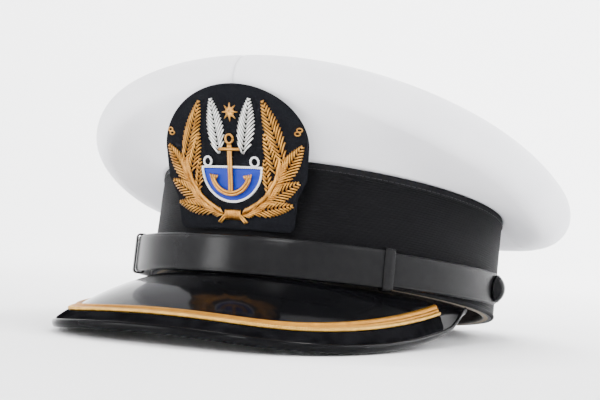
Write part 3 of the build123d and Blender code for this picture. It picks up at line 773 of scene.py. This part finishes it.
def stitches(name, height, grow, pitch):
    """Row of thread stitches round the band."""
    thread = Bundle()
    count = round(TAU * band_mean_radius / pitch)
    for s in range(count):
        start = 360.0 * s / count
        stop = start + 360.0 / count * 0.72
        path = []
        for share in (0.0, 0.2, 0.5, 0.8, 1.0):
            turn = start + (stop - start) * share - 180
            path.append((*oval_point(turn, grow + 0.22 * math.sin(math.pi * share) - 0.08), height))
        thread.tube(path, 0.17, 5)
    thread.make(name + "_stitches", STITCH)


STITCH = satin("black_thread", (0.016, 0.016, 0.018), 0.0003, "band_binding")
band_ribbon()
band_binding()
band_hem()


# ---- visor --------------------------------------------------------------------------------------
def visor_rim(turn):
    """Point of the visor's rim; 0 is the front and 90 the wearer's left horn."""
    across = math.copysign(abs(sin_of(turn)) ** (2 / visor_square), turn)
    reach = abs(cos_of(turn)) ** (2 / visor_square)
    x = across * (visor_half_width + horn_flare * (1 - reach) ** 4)
    y = visor_root_y - visor_reach * reach
    fade = 1 - math.exp(-((reach / horn_run) ** 2))
    z = visor_root_z - visor_drop * reach**0.49 * fade - visor_corner_drop * across**2 * reach
    return np.array((x, y, z))


def visor_section(turn):
    """Function that gives a point of the visor's section by distance from the rim and lift."""
    rim = visor_rim(turn)
    foot = oval_toward(rim, visor_focus_y, -visor_tuck)
    out, fall = math.dist(foot, rim[:2]), rim[2] - visor_root_z
    span = math.hypot(out, fall)
    arch = visor_bulge * span
    arch_radius = (span**2 / 4 + arch**2) / (2 * arch)
    along = visor_rim(turn + 0.1) - visor_rim(turn - 0.1)
    section = np.array((rim[0] - foot[0], rim[1] - foot[1], fall))
    square = np.linalg.norm(np.cross(along, section)) / (np.linalg.norm(along) * np.linalg.norm(section))
    run = ((rim[0] - foot[0]) / out, (rim[1] - foot[1]) / out)

    def at(distance, lift):
        """Point at a distance from the rim, or at a share of the way out to it if below zero."""
        share = -distance if distance < 0 else max(1 - distance / (span * square), 0.04)
        chord = span * (share - 0.5)
        rise = math.sqrt(arch_radius**2 - chord**2) - arch_radius + arch + lift
        reach = out * share - fall / span * rise
        return (foot[0] + run[0] * reach, foot[1] + run[1] * reach,
                visor_root_z + fall * share + out / span * rise)

    at.rim_share = lambda distance: 1 - distance / (span * square)
    return at


def even_turns(distance, step, reach):
    """Turns from -reach to reach whose points at a distance from the rim are a step apart."""
    horn = 80                   # beyond this turn the rim bends quickly, so its samples are closer
    turns = np.concatenate((np.linspace(-reach, -horn, 160)[:-1], np.linspace(-horn, horn, 800),
                            np.linspace(horn, reach, 160)[1:]))
    points = np.array([visor_section(turn)(distance, 0) for turn in turns])
    run = run_along(points)
    return np.interp(np.linspace(0, run[-1], round(run[-1] / step) + 1), run, turns)


def visor_sheet(name, lift, finish, thick):
    """One skin of the visor, from the band to the bead."""
    rows = []
    for turn in even_turns(bead_width, 2.2, rim_reach):
        at = visor_section(turn)
        stop = max(at.rim_share(bead_width - 0.5), 0.06)
        rows.append([at(-share, lift) for share in np.linspace(0.04, stop, 44)])
    skin(name, rows, finish, thick=thick)


def visor_strip(name, outer, inner, profile, finish, step=1.4, columns=11):
    """Trim along the rim; profile gives the lift at a share of its width and a length along it."""
    rows = []
    for count, turn in enumerate(even_turns((outer + inner) / 2, step, trim_reach)):
        at = visor_section(turn)
        rows.append([at(outer + (inner - outer) * share, profile(share, count * step))
                     for share in np.linspace(0, 1, columns)])
    skin(name, rows, finish, flip=True)


def twisted_cord(bundle, path, up, radius, pitch, closed=False):
    """Two plies wound round a path."""
    path = np.asarray(path, float)
    run = run_along(path)
    if closed:
        total = run[-1] + np.linalg.norm(path[0] - path[-1])
        pitch = total / round(total / pitch)
        stretched = np.concatenate((path[-2:], path, path[:2]))
        _, side, top = (a[2:-2] for a in frames_along(stretched, up))
    else:
        _, side, top = frames_along(path, up)
    for ply in (0.0, 0.5):
        turn = TAU * (run / pitch + ply)
        line = path + 0.46 * radius * (side * np.cos(turn)[:, None] + top * np.sin(turn)[:, None])
        bundle.tube(line, 0.56 * radius, up=up, closed=closed)


def visor_bead():
    """Rounded patent bead round the visor's rim."""
    rows = []
    for turn in even_turns(1.1, 1.6, rim_reach):
        at = visor_section(turn)
        ring = []
        for step in range(20):
            a = TAU * step / 20
            ring.append(at(max(1.15 + 1.15 * math.cos(a), 0.0), -1.1 + 1.9 * math.sin(a)))
        rows.append(ring)
    skin("visor_edge_bead", rows, BEAD_PATENT, close_columns=True)


def velvet_lift(share, run):
    """Velvet border: soft edges and a slightly uneven pile."""
    edge = min(share, 1 - share)
    return 0.05 + 0.7 * min(1.0, edge * 7) ** 0.5 + 0.05 * math.sin(run / 3.1) * math.sin(share * 9)


def braid_lift(share, run):
    """Braid of two ridges with a shallow groove between them, in slanting turns of wire."""
    ridge = abs(math.sin(math.pi * min(share / 0.4, 1 + (share - 0.4) / 0.6)))
    body = math.sin(math.pi * min(max(share, 0.0), 1.0)) ** 0.35
    turns = abs(math.sin(math.pi * (run / 0.95 + share * 2.2)))
    return 0.05 + 0.75 * body + 0.5 * ridge**0.8 + 0.14 * body * turns


def gold_cord():
    """Twisted gilt cord along the outer edge of the braid."""
    turns = even_turns(cord_line, 0.30, trim_reach)
    sections = [visor_section(turn) for turn in turns]
    path = [at(cord_line, 0.9) for at in sections]
    up = np.array([at(cord_line, 1.9) for at in sections]) - np.array(path)
    cord = Bundle()
    twisted_cord(cord, path, up, 1.0, 2.6)
    cord.make("visor_gold_cord", GOLD_CORD)


visor_sheet("visor_shell", 0.0, VISOR_PATENT, 1.1)
visor_sheet("visor_lining", -1.3, UNDER, 1.0)
visor_bead()
visor_strip("visor_velvet_border", bead_width, velvet_inner, velvet_lift, VELVET)
visor_strip("visor_gold_braid", braid_outer, braid_inner, braid_lift, GOLD_BRAID, step=0.28, columns=25)
gold_cord()


# ---- chin strap ---------------------------------------------------------------------------------
button_x = band_half_width + strap_gap
STRAP_UP = np.array((0.0, -sin_of(strap_dip), cos_of(strap_dip)))
STRAP_BACK = np.array((0.0, STRAP_UP[2], -STRAP_UP[1]))


def strap_space(x, y, height):
    """Point in the cap's frame, from the strap's own tipped plane."""
    return np.array((x, 0.0, strap_z)) + y * STRAP_BACK + height * STRAP_UP


def solve_right_arcs():
    """The strap's arcs on the wearer's right, where it bows off the band: (end turn, radius)."""
    s1, c1 = sin_of(right_front_turn), cos_of(right_front_turn)
    s2, c2 = sin_of(right_corner_turn), cos_of(right_corner_turn)
    need_x = button_x - right_front_radius * s1
    need_y = band_half_length + strap_gap - right_front_radius * (1 - c1)
    scale = (s2 - s1) * c2 - (c1 - c2) * (1 - s2)
    corner = (need_x * c2 - need_y * (1 - s2)) / scale
    rear = (need_y * (s2 - s1) - need_x * (c1 - c2)) / scale
    return [(right_front_turn, right_front_radius), (right_corner_turn, corner), (90.0, rear)]


right_arcs = solve_right_arcs()
left_arcs = [(end_turn, band_end_radius + strap_gap), (90.0, side_radius + strap_gap)]


def strap_point(arcs, turn, offset):
    """Point of a strap line in the strap's plane, moved outward by the offset."""
    x, y, start = 0.0, -(band_half_length + strap_gap), 0.0
    for stop, radius in arcs:
        sin0, cos0 = sin_of(start), cos_of(start)
        centre = (x - radius * sin0, y + radius * cos0)
        sin1, cos1 = sin_of(stop), cos_of(stop)
        if turn <= stop + 1e-9:
            reach = radius + offset
            return (centre[0] + reach * sin_of(turn),
                    centre[1] - reach * cos_of(turn))
        x, y, start = centre[0] + radius * sin1, centre[1] - radius * cos1, stop


def strap_line(near_arcs, far_arcs, side):
    """Stations of a strap: (x, y, outward x, outward y), from its tail to its free end."""
    stations = [(side * button_x, y, side, 0.0) for y in np.linspace(strap_tail, 0.0, 30)[:-1]]
    for turn in np.linspace(90, 0, 150)[:-1]:
        x, y = strap_point(near_arcs, turn, 0)
        stations.append((side * x, y, side * sin_of(turn), -cos_of(turn)))
    tip = strap_overlap - 3         # the stations are closer over the rounded end
    for turn in np.concatenate((np.linspace(0, tip, 90)[:-1], np.linspace(tip, strap_overlap, 16))):
        x, y = strap_point(far_arcs, turn, 0)
        stations.append((-side * x, y, -side * sin_of(turn), -cos_of(turn)))
    return np.array(stations)


def strap_profile(half, thick):
    """Section of a strap: bevelled edges, a pressed line inside them and a slight crown."""
    face = []
    outward = (0.5, 0.80, 0.84, 0.87, 0.90, 0.95, 0.985, 1)
    for share in (*(-edge_share for edge_share in reversed(outward)), 0, *outward):
        edge = (1 - abs(share)) * half
        height = thick * (0.42 + 0.58 * min(1.0, edge / 0.75) ** 0.6)
        height -= 0.16 * math.exp(-((edge - 1.15) / 0.25) ** 2)
        face.append((share * half, height))
    back = [(share * half, 0.0 if abs(share) < 0.97 else 0.2) for share in (1, 0.96, 0.5, 0, -0.5, -0.96, -1)]
    return face + back


def strap(name, near_arcs, far_arcs, side, inner, width, finish):
    """One leather strap as a closed form, with a rounded tail and a rounded free end."""
    line = strap_line(near_arcs, far_arcs, side)
    run = run_along(line[:, :2])
    half, tip = width / 2, 3.0
    rows = []
    for (x, y, nx, ny), length in zip(line, run):
        tail, end = max(length, 0.02), max(run[-1] - length, 0.02)
        room = half
        if tail < half:
            room = math.sqrt(half**2 - (half - tail) ** 2)
        if end < tip:
            room = min(room, half - tip + math.sqrt(tip**2 - (tip - end) ** 2))
        profile = strap_profile(max(room, 0.6), strap_thick)
        rows.append([strap_space(x + nx * (inner + t), y + ny * (inner + t), v) for v, t in profile])
    rows = np.array(rows)
    count, width_points = rows.shape[:2]
    faces = grid_faces(count, width_points, close_columns=True)
    faces.append(tuple(reversed(range(width_points))))
    faces.append(tuple((count - 1) * width_points + i for i in range(width_points)))
    if side < 0:
        faces = [f[::-1] for f in faces]
    add_mesh(name, rows.reshape(-1, 3), faces, finish, "chin_strap")


def keeper(name, side, arcs, body, turn):
    """Leather loop round both straps, with rounded edges."""
    x, y = strap_point(arcs, turn, 0)
    out = np.array((side * sin_of(turn), -cos_of(turn)))
    along = np.array((-out[1], out[0]))
    depth = ply_gap + strap_thick + 0.35
    height = outer_width / 2 + 0.35
    loop = []
    round_in = 1.1
    for corner, (su, sv) in enumerate(((1, 1), (-1, 1), (-1, -1), (1, -1))):
        for angle in np.linspace(corner * 90, corner * 90 + 90, 9):
            a = math.radians(angle)
            loop.append((su * (depth - round_in) + round_in * math.cos(a),
                         sv * (height - round_in) + round_in * math.sin(a), math.cos(a), math.sin(a)))
    half = keeper_length / 2
    section = [(-half + 0.1, 0.0), (half - 0.1, 0.0), (half, 0.2), (half - 0.08, 0.6), (half - 0.4, 0.82),
               (0, 0.9), (0.4 - half, 0.82), (0.08 - half, 0.6), (-half, 0.2)]
    rows = []
    for u, v, cu, cv in loop:
        row = []
        for length, lift in section:
            at_out, at_up = u + cu * lift, v + cv * lift
            spot = np.array((side * x, y)) + out * at_out + along * length
            row.append(strap_space(spot[0], spot[1], at_up))
        rows.append(row)
    skin(name, rows, KEEPER, body, close_rows=True, close_columns=True, flip=True)


strap("chin_strap_outer", right_arcs, left_arcs, -1, ply_gap, outer_width, STRAP_COAT)
strap("chin_strap_inner", left_arcs, right_arcs, 1, -ply_gap - strap_thick, inner_width, STRAP_INNER)
keeper("strap_keeper_left", 1, left_arcs, "keeper_left", left_keeper_turn)
keeper("strap_keeper_right", -1, right_arcs, "keeper_right", right_keeper_turn)


# ---- side buttons -------------------------------------------------------------------------------
def button(name, side, seat):
    """Domed button: turned rim, groove and polished dome, with its shank behind."""
    shank_length, shank_radius = 10.2, 1.6
    dome_radius, dome_foot, dome_top = 6.45, 1.45, 4.6
    outline = [(seat - shank_length, 0.02), (seat - shank_length, shank_radius),
               (seat - 0.02, shank_radius), (seat, 1.7), (seat, 6.7), (seat + 0.25, 7.0),
               (seat + 0.9, 7.0), (seat + 1.25, 6.85), (seat + 1.4, 6.6), (seat + 1.42, dome_radius)]
    rise = dome_top - dome_foot
    ball = (dome_radius**2 + rise**2) / (2 * rise)
    for angle in np.linspace(math.asin(dome_radius / ball), 0.004, 22):
        outline.append((seat + dome_top - ball + ball * math.cos(angle), ball * math.sin(angle)))
    rows = []
    for along, radius in outline:
        rows.append([np.array((side * along, 0, strap_z)) + radius * (math.cos(TAU * s / 64) * STRAP_UP
                     + math.sin(TAU * s / 64) * STRAP_BACK) for s in range(64)])
    skin(name, rows, BUTTON, name, close_columns=True, flip=side > 0)


BUTTON = patent("button_black", 0.3)
button("button_left", 1, button_x - ply_gap + 0.2)
button("button_right", -1, button_x + ply_gap + strap_thick + 0.2)


# ---- badge --------------------------------------------------------------------------------------
badge_lean = math.radians(19.5)
badge_stand = 0.5
badge_foot = 18.5
badge_roundness = 185.0
badge_shoulder = 56.0
badge_top = 82.0
badge_half_width = 37.5
felt_thick = 1.1
field_half_width = 15.0
field_top = 45.1
field_depth = 14.1
star_height = 69.5


def on_badge(x, z, lift):
    """Point of the badge at a place seen from the front, lifted off the back of the patch."""
    y = -(band_half_length + badge_stand + (z - badge_foot) * math.tan(badge_lean)
          + lift / math.cos(badge_lean))
    return (x, y + x**2 / (2 * badge_roundness * math.cos(badge_lean)), z)


def badge_tube(bundle, line, lift, radius, sides=7):
    """Tube along a line of (x, z) places; lift is above the felt, one number or one for each."""
    lifts = np.broadcast_to(lift, (len(line),))
    path = [on_badge(x, z, felt_thick + h) for (x, z), h in zip(line, lifts)]
    bundle.tube(path, radius, sides, (0, -1, 0))


def bullion_leaf(bundle, foot, tip, width, wire=0.42, puff=0.75, slant=34.0):
    """Leaf of short wire purls laid in a herringbone: each runs from its rib out and forward."""
    foot, tip = np.array(foot), np.array(tip)
    length = np.linalg.norm(tip - foot)
    along = (tip - foot) / length
    across = np.array((-along[1], along[0]))
    lean = math.tan(math.radians(90 - slant))
    pitch = wire * 2.6 / sin_of(slant)
    count = round(length * 0.97 / pitch)

    def edge(share):
        """Half width of the leaf at a share of its length."""
        return 0.5 * width * (math.sin(math.pi * min(max(share, 0.0), 1.0) ** 0.85) ** 0.75)

    for step in range(count):
        root = length * (step + 0.15) / count
        for hand in (1, -1):
            reach, low, high = 0.0, 0.0, width
            for _ in range(12):
                reach = (low + high) / 2
                low, high = (reach, high) if reach < edge((root + reach * lean) / length) else (low, reach)
            reach = max(reach, 0.35)
            purl, lifts = [], []
            for out in np.linspace(0.04, 1, 5):
                ahead = min(root + reach * lean * out, length * 1.01)
                spot = foot + along * ahead + across * hand * reach * out
                purl.append(tuple(spot))
                lifts.append(wire * 0.5 + puff * math.sin(math.pi * (0.12 + 0.84 * out)))
            badge_tube(bundle, purl, lifts, wire, 6)


def badge_patch():
    """Felt patch: cut to its outline, with a soft rounded edge."""
    half = []
    for angle in np.linspace(90, 0, 40):
        a = math.radians(angle)
        half.append((badge_half_width * math.cos(a),
                     badge_shoulder + (badge_top - badge_shoulder) * math.sin(a)))
    half += [(badge_half_width - 1.2 * s, badge_shoulder - 14 * s) for s in np.linspace(0.1, 1.0, 10)]
    half += [(36.3 - 4.8 * s, 42 - 9 * s) for s in np.linspace(0.15, 1.0, 7)]
    half += [(31.5 - 1.3 * s, 33 - 10.5 * s) for s in np.linspace(0.15, 1.0, 7)]
    half += [(26.2 + 4 * math.cos(a), 22.5 - 4 * math.sin(a)) for a in np.linspace(0.2, math.pi / 2, 6)]
    half += [(x, badge_foot) for x in np.linspace(24, 0, 14)]
    outline = np.array(half + [(-x, z) for x, z in reversed(half[1:-1])])
    centre = np.array((0.0, 50.0))
    rows = []
    for share in np.linspace(0.02, 0.98, 22):
        rows.append([on_badge(*(centre + (p - centre) * share), 0.0) for p in outline])
    for share, lift in ((1.0, 0.0), (1.004, 0.3), (1.004, 0.8), (0.994, 1.02), (0.98, felt_thick)):
        rows.append([on_badge(*(centre + (p - centre) * share), lift) for p in outline])
    for share in np.linspace(0.95, 0.02, 26):
        rows.append([on_badge(*(centre + (p - centre) * share), felt_thick) for p in outline])
    skin("badge_backing", rows, FELT, close_columns=True, flip=True)


# foot, tip and width of each leaf on the wearer's left, from the top down
wreath_leaves = [
    ((26.0, 48.5), (16.4, 75.2), 8.4),
    ((22.5, 43.0), (17.0, 61.0), 6.2),
    ((22.0, 37.5), (35.6, 56.3), 8.4),
    ((18.6, 34.5), (16.9, 50.0), 4.6),
    ((15.5, 30.5), (33.8, 40.3), 7.8),
    ((9.5, 26.2), (30.5, 30.1), 6.8),
]
wreath_stem = [(4.6, 24.6), (8.5, 26.2), (13.0, 28.6), (16.8, 31.4), (19.8, 34.8), (22.4, 38.6), (24.2, 42.6),
               (25.2, 46.6)]


def badge_wreath(name, side):
    """Laurel branch of the wreath, with its stem, its cut end and two berries."""
    branch = Bundle()
    for foot, tip, width in wreath_leaves:
        bullion_leaf(branch, (side * foot[0], foot[1]), (side * tip[0], tip[1]), width)
    stem = np.array(wreath_stem)
    run = run_along(stem)
    for length in np.arange(0.6, run[-1], 1.15):
        spot = np.array([np.interp(length, run, stem[:, k]) for k in (0, 1)])
        ahead = np.array([np.interp(min(length + 1, run[-1]), run, stem[:, k]) for k in (0, 1)])
        along = (ahead - spot) / max(np.linalg.norm(ahead - spot), 1e-6) if length < run[-1] - 0.5 else along
        across = np.array((-along[1], along[0]))
        for hand, reach in ((1, 2.1), (-1, 2.4)):
            purl = [spot + along * 2.9 * t + across * hand * reach * t for t in np.linspace(0.05, 1, 5)]
            badge_tube(branch, [(side * x, z) for x, z in purl], [0.7, 1.0, 1.05, 0.9, 0.5], 0.42)
    for shift in (-0.6, 0.6):
        end = [(side * (3.6 + shift + 3.4 * t), 24.6 - 3.4 * t + shift * 0.3) for t in np.linspace(0, 1, 6)]
        badge_tube(branch, end, 0.75, 0.5)
    for spot in ((33.0, 61.0), (34.0, 62.6)):
        ring = [(side * (spot[0] + 1.3 * math.cos(a)), spot[1] + 0.8 * math.sin(a))
                for a in np.linspace(0, TAU * 1.2, 20)]
        badge_tube(branch, ring, 0.6, 0.3)
    branch.make(name, BULLION)


def badge_tie():
    """Binding of wire round the stems, where the two branches meet."""
    tie = Bundle()
    for step in range(10):
        x = -3.8 + step * 0.84
        line = [(x + 0.3 * math.sin(t * 3), 22.6 + 4.4 * t) for t in np.linspace(0, 1, 7)]
        badge_tube(tie, line, [0.45 + 0.85 * math.sin(math.pi * t) for t in np.linspace(0, 1, 7)], 0.43)
    tie.make("badge_wreath_tie", BULLION)


def field_line(grow, count=90):
    """Closed outline of the blue field, grown outward: (x, z) places, evenly spaced."""
    half, depth, top = field_half_width + grow, field_depth + 2 * grow, field_top + grow
    arc = [(-half * math.cos(a), top - depth * math.sin(a)) for a in np.linspace(0, math.pi, 120)]
    arc += [(x, top) for x in np.linspace(half, -half, 60)[1:]]
    arc = np.array(arc)
    run = run_along(arc)
    spots = np.linspace(0, run[-1], count + 1)[:-1]
    return np.column_stack((np.interp(spots, run, arc[:, 0]), np.interp(spots, run, arc[:, 1])))


def badge_field():
    """Satin-stitched field, and the twisted cord round it with its two end loops."""
    outline, centre = field_line(0.1), np.array((0.0, 39.5))
    rows = []
    for share in np.linspace(0.02, 1.0, 16):
        lift = felt_thick + 0.35 * math.sqrt(max(0.0, 1 - share**4)) + 0.05
        rows.append([on_badge(*(centre + (p - centre) * share), lift) for p in outline])
    skin("badge_field", rows, BLUE, close_columns=True, flip=True)
    cord = Bundle()
    path = [on_badge(x, z, felt_thick + 0.6) for x, z in field_line(0.55, 420)]
    twisted_cord(cord, path, (0, -1, 0), 0.62, 2.0, closed=True)
    for side in (1, -1):
        ring = [on_badge(side * 12.3 + 2.0 * math.cos(a), 47.9 + 2.0 * math.sin(a), felt_thick + 1.15)
                for a in np.linspace(0, TAU, 61)[:-1]]
        twisted_cord(cord, ring, (0, -1, 0), 0.55, 1.8, closed=True)
    cord.make("badge_field_cord", CORD_WHITE)


def badge_anchor():
    """Anchor of gilt wire: shank, stock, ring, arms and flukes."""
    anchor = Bundle()
    base = 1.75
    for shift in (-0.6, 0.6):
        badge_tube(anchor, [(shift, z) for z in np.linspace(34.0, 55.2, 14)], base, 0.66)
        arms = [((9.8 + shift) * math.sin(a), 43.2 - (9.4 + shift) * math.cos(a))
                for a in np.linspace(-1.3, 1.3, 25)]
        badge_tube(anchor, arms, base, 0.66)
    badge_tube(anchor, [(x, 53.0) for x in np.linspace(-5.3, 5.3, 9)], base + 0.4, 0.85)
    ring = [(1.9 * math.cos(a), 57.6 + 1.9 * math.sin(a)) for a in np.linspace(0, TAU * 0.99, 22)]
    badge_tube(anchor, ring, base, 0.55)
    for side in (1, -1):
        for step in range(4):
            foot = (side * (9.9 - step * 0.75), 39.6 + step * 0.15)
            tip = (foot[0] + side * (0.8 - 0.5 * step), foot[1] + 2.8 - 0.35 * step)
            badge_tube(anchor, [foot, tip], base, 0.45)
    anchor.make("badge_anchor", BULLION)


def badge_fronds():
    """Two silver fronds over the field."""
    fronds = Bundle()
    for side in (1, -1):
        bullion_leaf(fronds, (side * 6.2, 51.0), (side * 10.2, 76.0), 8.6)
    fronds.make("badge_fronds", SILVER)


def badge_star():
    """Small eight-pointed star of gilt wire."""
    star = Bundle()
    for count in range(16):
        a = TAU * count / 16 + math.pi / 2
        reach = 4.1 if count % 2 == 0 else 2.3
        line = [(r * reach * math.cos(a), star_height + r * reach * math.sin(a))
                for r in np.linspace(0.08, 1, 6)]
        lifts = [0.9 - 0.4 * share for share in np.linspace(0, 1, 6)]
        badge_tube(star, line, lifts, [0.55, 0.55, 0.5, 0.42, 0.32, 0.18])
    star.make("badge_star", BULLION)


badge_patch()
badge_wreath("badge_wreath_left", 1)
badge_wreath("badge_wreath_right", -1)
badge_tie()
badge_field()
badge_anchor()
badge_fronds()
badge_star()


# ---- inside -------------------------------------------------------------------------------------
def sweatband():
    """Leather sweatband, folded at its lower edge, with a row of stitches above the fold."""
    profile = [(-4.85, 0.4), (-5.0, 0.2), (-5.6, 0.15), (-6.0, 0.5), (-6.05, 2.0), (-6.0, 4.0), (-6.05, 12.0),
               (-6.0, 22.0), (-6.05, 32.0), (-6.0, 37.4), (-5.8, 38.0), (-5.2, 38.0), (-4.9, 37.6)]
    skin("sweatband", oval_rings(profile, 220), LEATHER, close_columns=True)
    stitches("sweatband", 3.4, -6.25, 3.0)


def crown_lining():
    """Satin lining over the head, gathered slightly towards its middle."""
    rows = []
    for share in np.linspace(0, 1, 14):
        grow = -4.1 - 21.9 * share
        height = 53.1 + 12.9 * share**0.8
        rows.append([(*oval_point(360.0 * s / 240 - 180, grow),
                      height + 0.25 * math.sin(s * TAU / 12) * share) for s in range(240)])
    centre = np.array((0.0, 0.0, 66.1))
    rim = np.array(rows[-1])
    for share in np.linspace(0.92, 0.02, 10):
        rows.append(centre + (rim - centre) * share + (0, 0, 0.3 * (1 - share)))
    skin("crown_lining", rows, LINING, thick=0.6, close_columns=True)


def padding_roll():
    """Foam roll round the hoop wire, in a cover with a seam and slight creases."""
    roll_radius = rim_radius - 1.8
    gap = 12                    # degrees left open at the rear
    seam_turn, seam_width, seam_depth = 3.3, 0.16, 0.35
    rows = []
    for step in range(361):
        turn = 180 + gap / 2 + (360 - gap) * step / 360
        ahead, here = np.array(rim_core(turn + 0.5)), np.array(rim_core(turn))
        along = ahead - np.array(rim_core(turn - 0.5))
        along /= np.linalg.norm(along)
        out = np.cross(along, (0, 0, 1))
        out /= np.linalg.norm(out)
        top = np.cross(out, along)
        crease = 0.10 * math.sin(step * 1.7) + 0.08 * math.sin(step * 0.61)
        ring = []
        for count in range(28):
            a = TAU * count / 28
            seam = seam_depth * math.exp(-(((a - seam_turn) / seam_width) ** 2))
            radius = roll_radius + crease * math.sin(a) ** 2 - seam
            ring.append(here + radius * (math.cos(a) * out + math.sin(a) * top))
        rows.append(ring)
    rows = np.array(rows)
    count, width = rows.shape[:2]
    faces = grid_faces(count, width, close_columns=True)
    faces += [tuple(reversed(range(width))), tuple((count - 1) * width + i for i in range(width))]
    faces = [f[::-1] for f in faces]
    piece = add_mesh("rim_padding_roll", rows.reshape(-1, 3), faces, FOAM)


FOAM = fibre_board("padding_foam", (0.80, 0.79, 0.74))
sweatband()
crown_lining()
padding_roll()


def refinish(node, finish):
    """Better material for a CAD node that stays."""
    shown = frame["nodes"][node]
    for place_in_mesh in shown.material_slots:
        place_in_mesh.material = finish


WIRE = metal("hoop_steel", (0.50, 0.50, 0.52), 0.35)
BRASS = metal("ferrule_brass", (0.78, 0.58, 0.26), 0.3)
BOARD = fibre_board("foundation_board", (0.10, 0.10, 0.105))
STAY = metal("stay_steel", (0.45, 0.45, 0.47), 0.4)
REED = fibre_board("sweatband_reed", (0.25, 0.20, 0.14))
for node, finish in (("rim_hoop_wire", WIRE), ("rim_hoop_ferrule", BRASS),
                     ("band_foundation", BOARD), ("crown_front_stay", STAY), ("sweatband_reed", REED),
                     ("sweat_shield", vinyl()), ("button_washers", STEEL), ("button_collars", STEEL),
                     ("split_pin_left", STEEL), ("split_pin_right", STEEL)):
    refinish(node, finish[0])

# ---- cloth: what each piece was cut to before it was sewn and stretched over the frame ------------
band_tapes = [made[name] for name in ("band_top_binding", "band_bottom_hem", "band_top_binding_stitches")]
for name, flat, area, rests_on, tapes in (
        ("crown_front_left", (0.107, 0.260), 0.0168, ("rim_padding_roll", "band_ribbon"), ()),
        ("crown_front_right", (0.107, 0.260), 0.0168, ("rim_padding_roll", "band_ribbon"), ()),
        ("crown_rear_panel", (0.084, 0.222), 0.0120, ("rim_padding_roll", "band_ribbon"), ()),
        ("crown_top_panel", (0.229, 0.237), 0.0425, ("rim_padding_roll",), ()),
        ("crown_lining", (0.178, 0.211), 0.0292, ("band_foundation",), ()),
        ("band_ribbon", (0.0475, 0.613), None, ("band_foundation",), band_tapes)):
    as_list(rests_on)
    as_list(tapes)
